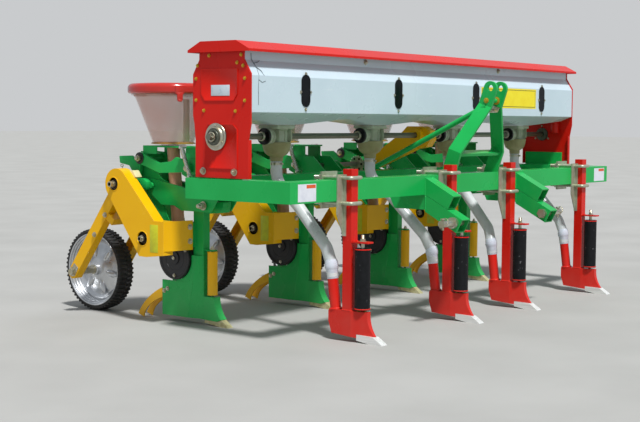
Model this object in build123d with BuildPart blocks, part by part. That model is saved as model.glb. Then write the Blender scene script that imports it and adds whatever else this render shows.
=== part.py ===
# A four-row maize drill for a tractor's three-point hitch: a square-tube frame with fertiliser
# shanks in front, a long fertiliser box above, and four seeding units behind on press wheels.
# Millimetres. X runs across the machine, -Y points to the tractor, and Z = 0 is the ground.
import os
from math import asin, atan2, cos, hypot, radians, sin, sqrt, tan

from build123d import *

os.makedirs("parts", exist_ok=True)

# Frame of welded square tube. The front beam's front face is y = 0 in the sizes below.
beam = 75.0
beam_wall = 5.0
beam_top = 579.0
frame_width = 2400.0
frame_depth = 494.0
beam_bottom = beam_top - beam

# Press wheels: they and the tips of the tools stand on the ground.
wheel_y = 1226.0
tyre_r = 170.0
tyre_width = 72.0
rim_r = 149.0
shank_tip_y = -174.0

# The whole part is centred on its own length.
datum_y = -(wheel_y + tyre_r + shank_tip_y) / 2

# Places across the machine.
row_x = (-960.0, -320.0, 335.0, 935.0)
shank_x = (-886.0, -231.0, 231.0, 886.0)
outlet_pitch = 592.0
outlet_shift = 25.0
outlet_x = [outlet_shift + (i - 1.5) * outlet_pitch for i in range(4)]

# Clearances.
seat_gap = 0.3
turn_gap = 6.0
shaft_gap = 0.5


def at(x, y, z):
    return (x, y + datum_y, z)


def side_plane(x):
    return Plane(origin=at(x, 0, 0), x_dir=(0, 1, 0), z_dir=(1, 0, 0))


def top_plane(z):
    return Plane(origin=at(0, 0, z), x_dir=(1, 0, 0), z_dir=(0, 0, 1))


def front_plane(y):
    return Plane(origin=at(0, y, 0), x_dir=(1, 0, 0), z_dir=(0, -1, 0))


def rod_plane(start, end):
    direction = Vector(*end) - Vector(*start)
    return Plane(origin=at(*start), z_dir=direction), direction.length


def across(places):
    return [Location((x, 0, 0)) for x in places]


def write(name, piece):
    piece.part.label = name
    export_step(piece.part, f"parts/{name}.step")


# Frame: a hollow rectangle of tube with drain holes below and tabs that carry the box's ends.
tab_thickness = 8.0
tab_height = 62.0
tab_front, tab_rear = 236.0, 436.0
end_plate_x = frame_width / 2 - 9
end_plate_thickness = 5.0
drain_r = 6.0
with BuildPart() as frame_beams:
    with Locations(at(0, frame_depth / 2, beam_top - beam / 2)):
        Box(frame_width, frame_depth, beam)
        Box(frame_width - 2 * beam, frame_depth - 2 * beam, beam, mode=Mode.SUBTRACT)
    with BuildSketch(top_plane(beam_bottom + beam_wall)):
        with Locations((0, frame_depth / 2)):
            Rectangle(frame_width - 2 * beam_wall, frame_depth - 2 * beam_wall)
            Rectangle(frame_width - 2 * (beam - beam_wall), frame_depth - 2 * (beam - beam_wall), mode=Mode.SUBTRACT)
    extrude(amount=beam - 2 * beam_wall, mode=Mode.SUBTRACT)
    with BuildSketch(top_plane(beam_bottom)):
        for x, y in ((-600, beam / 2), (600, beam / 2), (-600, frame_depth - beam / 2), (600, frame_depth - beam / 2)):
            with Locations((x, y)):
                Circle(drain_r)
    extrude(amount=beam_wall, mode=Mode.SUBTRACT)
    for side in (-1, 1):
        tab_x = side * (end_plate_x - end_plate_thickness - tab_thickness / 2)
        with Locations(at(tab_x, (tab_front + tab_rear) / 2, beam_top + tab_height / 2)):
            Box(tab_thickness, tab_rear - tab_front, tab_height)
write("frame_beams", frame_beams)

# Mast: two flat bars bent towards each other, leaning to the tractor, with a bar across them
# and one round stay that runs back to the rear beam.
bar_thickness = 12.0
bar_width = 60.0
foot_x = 165.0
ear_x = 39.0
mast_y = 32.0
mast_lean = 18.5
bend_low, bend_high, mast_length = 98.0, 292.0, 392.0
top_pin_r = 12.75
top_pin_t = 365.0
spacer_t = 312.0
crossbar_t = 86.0
crossbar_height = 12.0
lean_plane = Plane(
    origin=at(0, mast_y, beam_top),
    x_dir=(1, 0, 0),
    z_dir=(0, -cos(radians(mast_lean)), -sin(radians(mast_lean))),
)
top_pin_y = mast_y - top_pin_t * sin(radians(mast_lean))
top_pin_z = beam_top + top_pin_t * cos(radians(mast_lean))
spacer_y = mast_y - spacer_t * sin(radians(mast_lean))
spacer_z = beam_top + spacer_t * cos(radians(mast_lean))
stay_r = 11.0
stay_foot_x, stay_foot_y = 114.0, 447.0
half_bar = bar_thickness / 2
with BuildPart() as hitch_mast:
    for side in (-1, 1):
        with BuildSketch(lean_plane):
            with BuildLine():
                Polyline(
                    (side * (foot_x + half_bar), -20),
                    (side * (foot_x + half_bar), bend_low),
                    (side * (ear_x + half_bar), bend_high),
                    (side * (ear_x + half_bar), mast_length),
                    (side * (ear_x - half_bar), mast_length),
                    (side * (ear_x - half_bar), bend_high),
                    (side * (foot_x - half_bar), bend_low),
                    (side * (foot_x - half_bar), -20),
                    close=True,
                )
            make_face()
        extrude(amount=bar_width / 2, both=True)
    top_edges = hitch_mast.edges().filter_by(Axis.X).group_by(Axis.Z)[-1]
    top_edges += hitch_mast.edges().filter_by(Axis.X).group_by(Axis.Z)[-2]
    fillet(top_edges, radius=bar_width / 2 - 2)
    with BuildSketch(lean_plane):
        with Locations((0, crossbar_t)):
            Rectangle(2 * foot_x, crossbar_height)
    extrude(amount=20, both=True)
    with Locations(at(0, mast_y, beam_top - 50)):
        Box(frame_width, 200, 100, mode=Mode.SUBTRACT)
    with BuildSketch(side_plane(-ear_x - half_bar)):
        with Locations((spacer_y, spacer_z)):
            Circle(9)
    extrude(amount=2 * ear_x + bar_thickness)
    with BuildSketch(side_plane(-200)):
        with Locations((top_pin_y, top_pin_z)):
            Circle(top_pin_r)
    extrude(amount=400, mode=Mode.SUBTRACT)
    stay_top = (-ear_x - 2, spacer_y + 4, spacer_z - 22)
    stay_foot = (-stay_foot_x, stay_foot_y, beam_top + stay_r - 3)
    stay_plane, stay_length = rod_plane(stay_top, stay_foot)
    with BuildSketch(stay_plane):
        Circle(stay_r)
    extrude(amount=stay_length)
    with Locations(at(0, stay_foot_y, beam_top - 50)):
        Box(frame_width, 200, 100, mode=Mode.SUBTRACT)
write("hitch_mast", hitch_mast)

# Lower hitch arms: two square tubes on each side, stacked and sloping down to the tractor.
arm_size = 58.0
arm_wall = 4.5
arm_x = 351.0
arm_drop = 27.6
arm_top_z = 571.0
upper_arm_reach, lower_arm_reach = 147.0, 193.0
heel_length = 175.0
lower_pin_back = 28.0
slope_cos, slope_sin, slope_tan = cos(radians(arm_drop)), sin(radians(arm_drop)), tan(radians(arm_drop))


def arm_outline(top_z, reach, inset):
    # A sloping tube's side view from the beam's face to a square-cut end.
    upper = top_z - inset / slope_cos
    lower = top_z - (arm_size - inset) / slope_cos
    end = reach + (20 if inset else 0)
    tip = (-end * slope_cos - inset * slope_sin, top_z - end * slope_sin - inset * slope_cos)
    drop = arm_size - 2 * inset
    return [(0, upper), (tip[0] + 2 * inset * slope_sin, tip[1]), (tip[0] + 2 * inset * slope_sin + drop * slope_sin, tip[1] - drop * slope_cos), (0, lower)]


lower_pin_y = -(lower_arm_reach - lower_pin_back) * slope_cos + arm_size / 2 * slope_sin
lower_pin_z = beam_bottom - (lower_arm_reach - lower_pin_back) * slope_sin - arm_size / 2 * slope_cos
lower_pin_r = 14.0
with BuildPart() as arm_pair:
    for inset, width, mode in ((0, arm_size, Mode.ADD), (arm_wall, arm_size - 2 * arm_wall, Mode.SUBTRACT)):
        for top_z, reach in ((arm_top_z, upper_arm_reach), (beam_bottom, lower_arm_reach)):
            with BuildSketch(side_plane(0)):
                with BuildLine():
                    Polyline(*arm_outline(top_z, reach, inset), close=True)
                make_face()
            extrude(amount=width / 2, both=True, mode=mode)
        heel_low = beam_bottom - arm_size + inset
        with BuildSketch(side_plane(0)):
            with BuildLine():
                Polyline(
                    (-inset * 3, beam_bottom - inset),
                    (heel_length + inset, beam_bottom - inset),
                    (heel_length - 30 + inset, heel_low),
                    (-inset * 3, heel_low),
                    close=True,
                )
            make_face()
        extrude(amount=width / 2, both=True, mode=mode)
    with Locations(at(0, beam / 2, beam_top - beam / 2)):
        Box(arm_size + 2, beam, beam, mode=Mode.SUBTRACT)
    with BuildSketch(side_plane(-arm_size)):
        with Locations((lower_pin_y, lower_pin_z)):
            Circle(lower_pin_r + seat_gap)
    extrude(amount=2 * arm_size, mode=Mode.SUBTRACT)
with BuildPart() as hitch_arms:
    with Locations(*across((-arm_x, arm_x))):
        add(arm_pair.part)
write("hitch_arms", hitch_arms)

# Lower hitch pins point outwards, with a collar against the arm and a nut on its inner side.
pin_length = 72.0
collar_r, collar_thickness = 22.0, 16.0
nut_r, nut_thickness = 21.0, 14.0
lynch_r = 5.5
with BuildPart() as hitch_pins:
    for side in (-1, 1):
        face_x = side * (arm_x + arm_size / 2)
        inner_x = side * (arm_x - arm_size / 2)
        with BuildSketch(side_plane(inner_x)):
            with Locations((lower_pin_y, lower_pin_z)):
                Circle(lower_pin_r)
        extrude(amount=side * (arm_size + collar_thickness + pin_length))
        with BuildSketch(side_plane(face_x)):
            with Locations((lower_pin_y, lower_pin_z)):
                Circle(collar_r)
        extrude(amount=side * collar_thickness)
        with BuildSketch(side_plane(inner_x)):
            with Locations((lower_pin_y, lower_pin_z)):
                RegularPolygon(nut_r, 6)
        extrude(amount=-side * nut_thickness)
        hole_x = face_x + side * (collar_thickness + pin_length - 12)
        with BuildSketch(top_plane(lower_pin_z - 40)):
            with Locations((hole_x, lower_pin_y)):
                Circle(lynch_r)
        extrude(amount=80, mode=Mode.SUBTRACT)
write("hitch_pins", hitch_pins)

# Fertiliser box: folded sheet with a shouldered section and four funnels in its floor.
sheet = 3.0
box_half = end_plate_x - end_plate_thickness
box_front, box_rear = 188.0, 462.0
neck_front, neck_rear = 222.0, 430.0
box_floor_z, shoulder_z, neck_z, rim_z = 816.0, 945.0, 998.0, 1050.0
outlet_z = 772.0
outlet_size = 96.0
feed_y, feed_z = 348.0, 729.0
window_height, window_width, window_z = 108.0, 40.0, 897.0
window_x = [-5.0 + (i - 1.5) * 589.0 for i in range(4)]


box_mid, box_depth = (box_front + box_rear) / 2, box_rear - box_front
ridge_z = 796.0
funnel_half = outlet_size / 2 + (outlet_pitch - outlet_size) / 2 * (box_floor_z - outlet_z) / (ridge_z - outlet_z)


def box_body(inset, rise, top):
    # The box's section and its four funnels, as a solid: once for the outside and once for the space inside.
    with BuildPart() as body:
        with BuildSketch(side_plane(-box_half + inset)):
            with BuildLine():
                Polyline(
                    (box_front + inset, box_floor_z + rise), (box_front + inset, shoulder_z),
                    (neck_front + inset, neck_z), (neck_front + inset, top), (neck_rear - inset, top),
                    (neck_rear - inset, neck_z), (box_rear - inset, shoulder_z), (box_rear - inset, box_floor_z + rise),
                    close=True,
                )
            make_face()
        extrude(amount=2 * (box_half - inset))
        for x in outlet_x:
            with BuildSketch(top_plane(box_floor_z + rise)):
                with Locations((x, box_mid)):
                    Rectangle(2 * funnel_half, box_depth)
            with BuildSketch(top_plane(outlet_z + rise)):
                with Locations((x, feed_y)):
                    Rectangle(outlet_size, outlet_size)
            loft()
        with Locations(at(0, box_mid, (outlet_z + top) / 2)):
            Box(2 * (box_half - inset), box_depth - 2 * inset, 2 * (top - outlet_z), mode=Mode.INTERSECT)
    return body.part


box_outside = box_body(0, 0, rim_z)
box_inside = box_body(sheet, sheet * 1.1, rim_z + 1)
with BuildPart() as fertiliser_box:
    add(box_outside)
    add(box_inside, mode=Mode.SUBTRACT)
    for x in outlet_x:
        with Locations(at(x, feed_y, outlet_z)):
            Box(outlet_size - 2 * sheet, outlet_size - 2 * sheet, 4 * sheet, mode=Mode.SUBTRACT)
    for x in window_x:
        with BuildSketch(front_plane(box_front + sheet)):
            with Locations((x, window_z)):
                SlotOverall(window_height, window_width, rotation=90)
        extrude(amount=2 * sheet, mode=Mode.SUBTRACT)
write("fertiliser_box", fertiliser_box)

# Lid hinges: a strap from the box's neck to a knuckle behind the lid's rear lip.
hinge_y, hinge_z, knuckle_r, hinge_pin_r = 482.0, 1021.0, 7.0, 4.0
hinge_x = (-800.0, 0.0, 800.0)
knuckle_length = 40.0
with BuildPart() as lid_hinges:
    for x in hinge_x:
        with BuildSketch(side_plane(x - knuckle_length / 2)):
            with BuildLine():
                Polyline(
                    (neck_rear + seat_gap, neck_z + 6), (neck_rear + seat_gap, neck_z + 20), (hinge_y, neck_z + 20),
                    (hinge_y, neck_z + 15), (neck_rear + seat_gap + 4, neck_z + 15), (neck_rear + seat_gap + 4, neck_z + 6),
                    close=True,
                )
            make_face()
            with Locations((hinge_y, hinge_z)):
                Circle(knuckle_r)
        extrude(amount=knuckle_length)
        with BuildSketch(side_plane(x - knuckle_length)):
            with Locations((hinge_y, hinge_z)):
                Circle(hinge_pin_r)
        extrude(amount=2 * knuckle_length)
write("lid_hinges", lid_hinges)

# Dark windows over the slots show the level in the box.
window_lip = 5.0
with BuildPart() as level_windows:
    for x in window_x:
        with BuildSketch(front_plane(box_front)):
            with Locations((x, window_z)):
                SlotOverall(window_height + 2 * window_lip, window_width + 2 * window_lip, rotation=90)
        extrude(amount=2.5)
write("level_windows", level_windows)

# End plates: pressed sheet, bolted to the frame's tabs, with flanges beside their lower halves.
plate_foot_z = beam_top + 4.0
plate_front, plate_rear = 186.0, 451.0
fold_front = 197.0
flange_depth = 17.0
bearing_r = 40.0
plate_outline = [
    (fold_front, plate_foot_z), (fold_front, 720), (plate_front, 775), (box_front - 2, 806), (box_front - 2, shoulder_z + 6),
    (neck_front - 3, neck_z + 4), (neck_front - 3, rim_z - 6), (neck_rear + 3, rim_z - 6), (neck_rear + 3, neck_z + 4),
    (box_rear + 2, shoulder_z + 6), (box_rear + 2, 806), (plate_rear + 6, 775), (plate_rear, 720), (plate_rear, plate_foot_z),
]
for side, name in ((-1, "box_end_near"), (1, "box_end_far")):
    outer_x = side * end_plate_x
    with BuildPart() as box_end:
        with BuildSketch(side_plane(outer_x)):
            with BuildLine():
                Polyline(*plate_outline, close=True)
            make_face()
            with Locations((feed_y, feed_z)):
                Circle(bearing_r - 8, mode=Mode.SUBTRACT)
        extrude(amount=-side * end_plate_thickness)
        for y in (fold_front + end_plate_thickness / 2, plate_rear - end_plate_thickness / 2):
            with Locations(at(side * (end_plate_x - flange_depth / 2), y, (plate_foot_z + 720) / 2)):
                Box(flange_depth, end_plate_thickness, 720 - plate_foot_z)
    write(name, box_end)

# Flanged bearings of the feed shaft on both end plates.
shaft_flats = 22.0
shaft_corner_r = shaft_flats / 2 / cos(radians(30))
bearing_bore = shaft_corner_r + shaft_gap
with BuildPart() as shaft_bearings:
    for side in (-1, 1):
        with BuildSketch(side_plane(side * end_plate_x)):
            with Locations((feed_y, feed_z)):
                Circle(48)
                Circle(bearing_bore, mode=Mode.SUBTRACT)
        extrude(amount=side * 5)
        with BuildSketch(side_plane(side * (end_plate_x - 12))):
            with Locations((feed_y, feed_z)):
                Circle(bearing_r - 9)
                Circle(bearing_bore, mode=Mode.SUBTRACT)
        extrude(amount=side * 30)
write("shaft_bearings", shaft_bearings)

# Box lid: a folded cover with a flat crown, hinged along its rear edge.
lid_half = end_plate_x + 20
lid_front, lid_rear = 180.0, 472.0
crown_front, crown_rear = 240.0, 410.0
lid_low, lid_edge_z, crown_z = 1027.0, 1036.0, 1066.0
lid_sheet = 3.0


def lid_outline(inset):
    return [
        (lid_front + inset, lid_low - (1 if inset else 0)), (lid_front + inset, lid_edge_z),
        (crown_front + inset * 0.6, crown_z - inset), (crown_rear - inset * 0.6, crown_z - inset),
        (lid_rear - inset, lid_edge_z), (lid_rear - inset, lid_low - (1 if inset else 0)),
    ]


with BuildPart() as box_lid:
    for inset, mode in ((0, Mode.ADD), (lid_sheet, Mode.SUBTRACT)):
        with BuildSketch(side_plane(-lid_half + inset)):
            with BuildLine():
                Polyline(*lid_outline(inset), close=True)
            make_face()
        extrude(amount=2 * (lid_half - inset), mode=mode)
    for x in hinge_x:
        for side in (-1, 1):
            with BuildSketch(side_plane(x + side * (knuckle_length / 2 + 0.5))):
                with BuildLine():
                    Polyline(
                        (lid_rear - 1, lid_edge_z - 8), (lid_rear - 1, lid_edge_z), (hinge_y + 5, hinge_z + 4),
                        (hinge_y - 5, hinge_z), close=True,
                    )
                make_face()
                with Locations((hinge_y, hinge_z)):
                    Circle(knuckle_r)
                    Circle(hinge_pin_r + seat_gap, mode=Mode.SUBTRACT)
            extrude(amount=side * (knuckle_length / 2 - 1))
write("box_lid", box_lid)

# Hexagonal feed shaft through all feeders and both end plates.
shaft_end = end_plate_x + 44.0
with BuildPart() as feed_shaft:
    with BuildSketch(side_plane(-shaft_end)):
        with Locations((feed_y, feed_z)):
            RegularPolygon(shaft_corner_r, 6)
    extrude(amount=2 * shaft_end)
write("feed_shaft", feed_shaft)

# Feeders: a round housing with a wheel inside under each outlet, drawn in to a spout below.
feeder_r, feeder_low = 51.0, 700.0
throat_r, throat_z = 34.0, 659.0
spout_r, spout_z = 22.5, 636.0
hub_r, hub_length = 38.0, 26.0
with BuildPart() as feeder:
    with BuildSketch(front_plane(feed_y)):
        with BuildLine():
            Polyline(
                (0, outlet_z), (feeder_r, outlet_z), (feeder_r, feeder_low), (feeder_r - 4, feeder_low - 18), (throat_r, throat_z),
                (spout_r, throat_z - 11), (spout_r, spout_z), (0, spout_z), close=True,
            )
        make_face()
    revolve(axis=Axis(at(0, feed_y, 0), (0, 0, 1)))
    with BuildSketch(side_plane(-feeder_r - hub_length)):
        with Locations((feed_y, feed_z)):
            Circle(hub_r)
    extrude(amount=hub_length + 2 * feeder_r)
    with BuildSketch(side_plane(-feeder_r - hub_length - 1)):
        with Locations((feed_y, feed_z)):
            Circle(bearing_bore)
    extrude(amount=2 * feeder_r + hub_length + 2, mode=Mode.SUBTRACT)
with BuildPart() as feeders:
    with Locations(*across(outlet_x)):
        add(feeder.part)
write("feeders", feeders)

# Fertiliser shanks: a square bar on the beam's front face, a welded shoe and a delivery pipe.
shank_size = 38.0
shank_top = 618.0
shoe_width = 44.0
shoe_top, shoe_foot = 112.0, 22.0
platform_front = -106.0
shoe_heel = 60.0
nose_y = shank_tip_y + 38.0
nose_half = 5.0
chisel_back, chisel_high = -63.0, 30.0
pipe_r = 20.0
pipe_top = (58.0, 224.0)
pipe_foot = (40.0, 90.0)
roller_y = -76.0
roller_r = 28.0
roller_low, roller_high = 124.0, 332.0
axle_r = 6.0
tab_z = 359.0
with BuildPart() as shoe:
    with BuildSketch(side_plane(0)):
        with BuildLine():
            Polyline(
                (platform_front, shoe_top),
                (shoe_heel - 4, shoe_top),
                (shoe_heel, shoe_top - 6),
                (shoe_heel, 70),
                (shoe_heel - 14, shoe_foot + 4),
                (chisel_back + seat_gap, shoe_foot - 5),
                (chisel_back + seat_gap, chisel_high + seat_gap),
                (nose_y, shoe_foot + 4 + seat_gap),
            )
            ThreePointArc((nose_y, shoe_foot + 4 + seat_gap), (platform_front - 6, 64), (platform_front, shoe_top))
        make_face()
    extrude(amount=shoe_width / 2, both=True)
    with BuildSketch(top_plane(0)):
        with BuildLine():
            Polyline(
                (-shoe_width / 2, shoe_heel), (-shoe_width / 2, -shank_size - 3), (-nose_half, nose_y), (nose_half, nose_y),
                (shoe_width / 2, -shank_size - 3), (shoe_width / 2, shoe_heel), close=True,
            )
        make_face()
    extrude(amount=2 * shoe_top, mode=Mode.INTERSECT)
with BuildPart() as shank:
    with Locations(at(0, -shank_size / 2, (shank_top + shoe_foot + 20) / 2)):
        Box(shank_size, shank_size, shank_top - shoe_foot - 20)
    add(shoe.part)
    pipe_plane, pipe_length = rod_plane((0, *pipe_foot), (0, *pipe_top))
    with BuildSketch(pipe_plane):
        Circle(pipe_r)
    extrude(amount=pipe_length)
    with Locations(at(0, (roller_y - 24 - shank_size / 2) / 2, tab_z)):
        Box(34, 24 + shank_size / 2 - roller_y - shank_size + 20, 6)
    with BuildSketch(top_plane(shoe_top - 4)):
        with Locations((0, roller_y)):
            Circle(axle_r)
    extrude(amount=tab_z + 30 - shoe_top)
with BuildPart() as fertiliser_shanks:
    with Locations(*across(shank_x)):
        add(shank.part)
write("fertiliser_shanks", fertiliser_shanks)

# Pale chisel points under the shoes.
point_width = 34.0
with BuildPart() as shank_point:
    with BuildSketch(side_plane(0)):
        with BuildLine():
            Polyline(
                (shank_tip_y, 0),
                (shank_tip_y + 5, 5),
                (nose_y, shoe_foot + 4),
                (chisel_back, chisel_high),
                (chisel_back, 8),
                (shank_tip_y + 58, 0),
                close=True,
            )
        make_face()
    extrude(amount=point_width / 2, both=True)
with BuildPart() as shank_points:
    with Locations(*across(shank_x)):
        add(shank_point.part)
write("shank_points", shank_points)

# Shank clamps: a saddle angle beside each shank, two U-bolts and a strap behind the beam.
bolt_r = 7.0
saddle_x = shank_size / 2 + seat_gap
saddle_thickness = 5.0
saddle_wide = 39.0
saddle_top, saddle_low = beam_top + 20, beam_bottom - 125
clamp_high, clamp_low = beam_top + bolt_r + 1, beam_bottom - bolt_r - 1
strap_thickness = 8.0
bolt_back = 118.0
with BuildPart() as shank_clamp:
    with BuildSketch(front_plane(-seat_gap)):
        with BuildLine():
            Polyline(
                (-saddle_x, saddle_top), (-saddle_x, saddle_low), (-saddle_x - 20, saddle_low + 40),
                (-saddle_x - saddle_wide, beam_bottom - 45), (-saddle_x - saddle_wide, saddle_top), close=True,
            )
        make_face()
    extrude(amount=saddle_thickness)
    with Locations(at(-saddle_x - saddle_thickness / 2, -seat_gap - 8, (saddle_top + saddle_low) / 2)):
        Box(saddle_thickness, 16, saddle_top - saddle_low)
    leg_x = saddle_x + saddle_thickness + bolt_r - 1
    bow_y = -shank_size - bolt_r - 1
    for z in (clamp_high, clamp_low):
        with BuildLine() as bolt_path:
            FilletPolyline(
                at(-leg_x, bolt_back, z), at(-leg_x, bow_y, z), at(leg_x, bow_y, z), at(leg_x, bolt_back, z), radius=bolt_r + 3,
            )
        with BuildSketch(Plane(origin=bolt_path.line @ 0, z_dir=bolt_path.line % 0)):
            Circle(bolt_r)
        sweep(path=bolt_path.line)
        for side in (-1, 1):
            with BuildSketch(front_plane(beam + strap_thickness + 12)):
                with Locations((side * leg_x, z)):
                    RegularPolygon(12.5, 6)
            extrude(amount=12)
    with Locations(at(0, beam + strap_thickness / 2 + seat_gap, (clamp_high + clamp_low) / 2)):
        Box(2 * leg_x + 28, strap_thickness, clamp_high - clamp_low + 40)
with BuildPart() as shank_clamps:
    with Locations(*across(shank_x)):
        add(shank_clamp.part)
write("shank_clamps", shank_clamps)

# Delivery hoses from the feeders' spouts to the shanks' pipes.
hose_r = 22.0
with BuildPart() as hoses:
    for x0, x1 in zip(outlet_x, shank_x):
        ways = [
            (0.0, feed_y, spout_z - seat_gap), (0.0, feed_y, 565), (0.3, 236, 474), (0.75, 92, 330),
            (0.98, 66, 276), (1.0, pipe_top[0], pipe_top[1] + 1),
        ]
        points = [at(x0 + share * (x1 - x0), y, z) for share, y, z in ways]
        with BuildLine() as route:
            FilletPolyline(*points, radius=[70, 90, 60, 25])
        with BuildSketch(Plane(origin=route.line @ 0, z_dir=route.line % 0)):
            Circle(hose_r)
        sweep(path=route.line)
write("hoses", hoses)

# Row units. Everything below is drawn at x = 0 and repeated at each row.
# Parallel links carry each unit behind the rear beam.
low_front, low_rear = (frame_depth + 76, 465.0), (frame_depth + 362, 532.0)
high_front, high_rear = (frame_depth + 158, 604.0), (frame_depth + 414, 637.0)
plate_half = 44.0
plate_thick = 6.0
link_half = 52.0
bracket_half = 60.0
pivot_r = 11.0
with BuildPart() as link_set:
    for side in (-1, 1):
        # Bracket welded to the rear beam.
        with BuildSketch(side_plane(side * bracket_half)):
            with BuildLine():
                Polyline(
                    (frame_depth, beam_bottom), (frame_depth, beam_top), (high_front[0] - 92, high_front[1] + 36),
                    (high_front[0] + 38, high_front[1] + 36), (high_front[0] + 38, high_front[1] - 24),
                    (low_front[0] + 30, low_front[1] + 75), (low_front[0] + 30, low_front[1] - 25),
                    (low_front[0] - 30, low_front[1] - 25), close=True,
                )
            make_face()
        extrude(amount=-side * plate_thick)
        # Lower link.
        with BuildSketch(side_plane(side * link_half)):
            with BuildLine():
                Polyline(
                    (low_front[0] - 22, low_front[1] - 25), (low_front[0] - 22, low_front[1] + 27), (low_rear[0] - 156, low_rear[1]),
                    (low_rear[0] - 10, low_rear[1] + 24), (low_rear[0] + 24, low_rear[1] + 24), (low_rear[0] + 24, low_rear[1] - 24),
                    (low_rear[0] - 46, low_rear[1] - 74), (low_rear[0] - 116, low_rear[1] - 74), (low_rear[0] - 156, low_front[1] - 25),
                    close=True,
                )
            make_face()
        extrude(amount=-side * plate_thick)
        # Dog-leg upper link.
        with BuildSketch(side_plane(side * (bracket_half + 12))):
            with BuildLine():
                Polyline(
                    (930, 652), (908, 661), (883, 653), (803, 621), (735, 629), (711, 645), (687, 640), (636, 618),
                    (632, 590), (799, 582), (883, 608), (920, 615), close=True,
                )
            make_face()
        extrude(amount=-side * 12)
    for y, z, half in ((*low_front, bracket_half + 16), (*low_rear, bracket_half + 6), (*high_front, bracket_half + 16), (*high_rear, bracket_half + 24)):
        with BuildSketch(side_plane(-half)):
            with Locations((y, z)):
                Circle(pivot_r)
        extrude(amount=2 * half)
with BuildPart() as unit_links:
    with Locations(*across(row_x)):
        add(link_set.part)
write("unit_links", unit_links)

# Unit frame: two side plates joined by tubes and by the sleeve that grips the opener's shank.
wheel_pivot = (frame_depth + 461, 537.0)
meter_shaft = (795.0, 334.0)
opener_shank = (616.0, 668.0)
meter_centre = (752.0, 252.0)
sleeve_low, sleeve_high = 466.0, 500.0
meter_r = meter_centre[0] - opener_shank[1] - seat_gap
opener_half = 17.5
unit_width = plate_half - plate_thick
table_z = 687.0
with BuildPart() as unit_frame:
    for side in (-1, 1):
        with BuildSketch(side_plane(side * plate_half)):
            with BuildLine():
                Polyline(
                    (606, 470), (606, 500), (700, 512), (820, 560), (high_rear[0] - 28, high_rear[1] + 23),
                    (high_rear[0] + 22, high_rear[1] + 27), (wheel_pivot[0] + 30, wheel_pivot[1] + 23),
                    (wheel_pivot[0] + 30, wheel_pivot[1] - 32), (wheel_pivot[0] - 25, wheel_pivot[1] - 37), (862, 404),
                    (842, 300), (765, 300), (776, 400), (807, 456), (765, 476), (739, 459), (688, 480), (641, 478), close=True,
                )
            make_face()
        extrude(amount=-side * plate_thick)
    for y, z in (low_rear, high_rear, wheel_pivot):
        with BuildSketch(side_plane(-plate_half)):
            with Locations((y, z)):
                Circle(20)
                Circle(pivot_r + seat_gap, mode=Mode.SUBTRACT)
        extrude(amount=2 * plate_half)
        with BuildSketch(side_plane(-plate_half)):
            with Locations((y, z)):
                Circle(pivot_r + seat_gap)
        extrude(amount=2 * plate_half, mode=Mode.SUBTRACT)
    with Locations(at(0, sum(opener_shank) / 2 + 1, (sleeve_low + sleeve_high) / 2)):
        Box(2 * unit_width + 2, 74, sleeve_high - sleeve_low)
    with Locations(at(0, sum(opener_shank) / 2, (sleeve_low + sleeve_high) / 2)):
        Box(
            2 * (opener_half + seat_gap), opener_shank[1] - opener_shank[0] + 2 * seat_gap, 2 * (sleeve_high - sleeve_low),
            mode=Mode.SUBTRACT,
        )
with BuildPart() as unit_frames:
    with Locations(*across(row_x)):
        add(unit_frame.part)
write("unit_frames", unit_frames)

# Hopper tables: a folded plate over each unit with legs down to the links' bracket and frame.
table_front, table_rear = 606.0, 902.0
hopper_y = 795.0
chute_r = 24.0
table_half = 60.0
with BuildPart() as table:
    with Locations(at(0, (table_front + table_rear) / 2, table_z - 3)):
        Box(2 * table_half, table_rear - table_front, 6)
    leg_outer = bracket_half - plate_thick - seat_gap
    for side in (-1, 1):
        with Locations(at(side * (leg_outer - plate_thick / 2), 643, (table_z + high_front[1] + pivot_r + 2) / 2)):
            Box(plate_thick, 64, table_z - high_front[1] - pivot_r - 2)
        with Locations(at(side * (table_half - 2), table_rear - 38, table_z - 16)):
            Box(4, 76, 32)
    with BuildSketch(top_plane(table_z)):
        with Locations((0, hopper_y)):
            Circle(chute_r + 4)
    extrude(amount=-10, mode=Mode.SUBTRACT)
with BuildPart() as hopper_tables:
    with Locations(*across(row_x)):
        add(table.part)
write("hopper_tables", hopper_tables)

# Seed hoppers: clear tapered tubs on a flange.
hopper_low_r, hopper_high_r, hopper_wall = 78.0, 160.0, 3.0
hopper_low, hopper_high = table_z + 6, 905.0
cap_r, cap_low, cap_top = 176.0, 888.0, 927.0
cap_hinge_y, cap_hinge_z = hopper_y + cap_r + 11, cap_low - 3
with BuildPart() as seed_hopper:
    for inset, mode in ((0, Mode.ADD), (hopper_wall, Mode.SUBTRACT)):
        with BuildSketch(Plane(origin=at(0, hopper_y, 0), x_dir=(1, 0, 0), z_dir=(0, -1, 0))) as profile:
            with BuildLine():
                Polyline(
                    (0, hopper_low + inset), (hopper_low_r - inset, hopper_low + inset),
                    (hopper_high_r - inset, hopper_high + (1 if inset else 0)), (0, hopper_high + (1 if inset else 0)),
                    close=True,
                )
            make_face()
        revolve(axis=Axis(at(0, hopper_y, 0), (0, 0, 1)), mode=mode)
    with BuildSketch(top_plane(table_z + seat_gap)):
        with Locations((0, hopper_y)):
            Circle(48)
    extrude(amount=8)
    with BuildSketch(top_plane(table_z)):
        with Locations((0, hopper_y)):
            Circle(chute_r - 4)
    extrude(amount=20, mode=Mode.SUBTRACT)
    wall_y = hopper_y + hopper_high_r - 9
    with Locations(at(0, (wall_y + cap_hinge_y) / 2, cap_hinge_z - 3)):
        Box(30, cap_hinge_y - wall_y, 4)
    with BuildSketch(side_plane(-15)):
        with Locations((cap_hinge_y, cap_hinge_z)):
            Circle(6)
    extrude(amount=30)
    with BuildSketch(side_plane(-32)):
        with Locations((cap_hinge_y, cap_hinge_z)):
            Circle(hinge_pin_r)
    extrude(amount=64)
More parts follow.
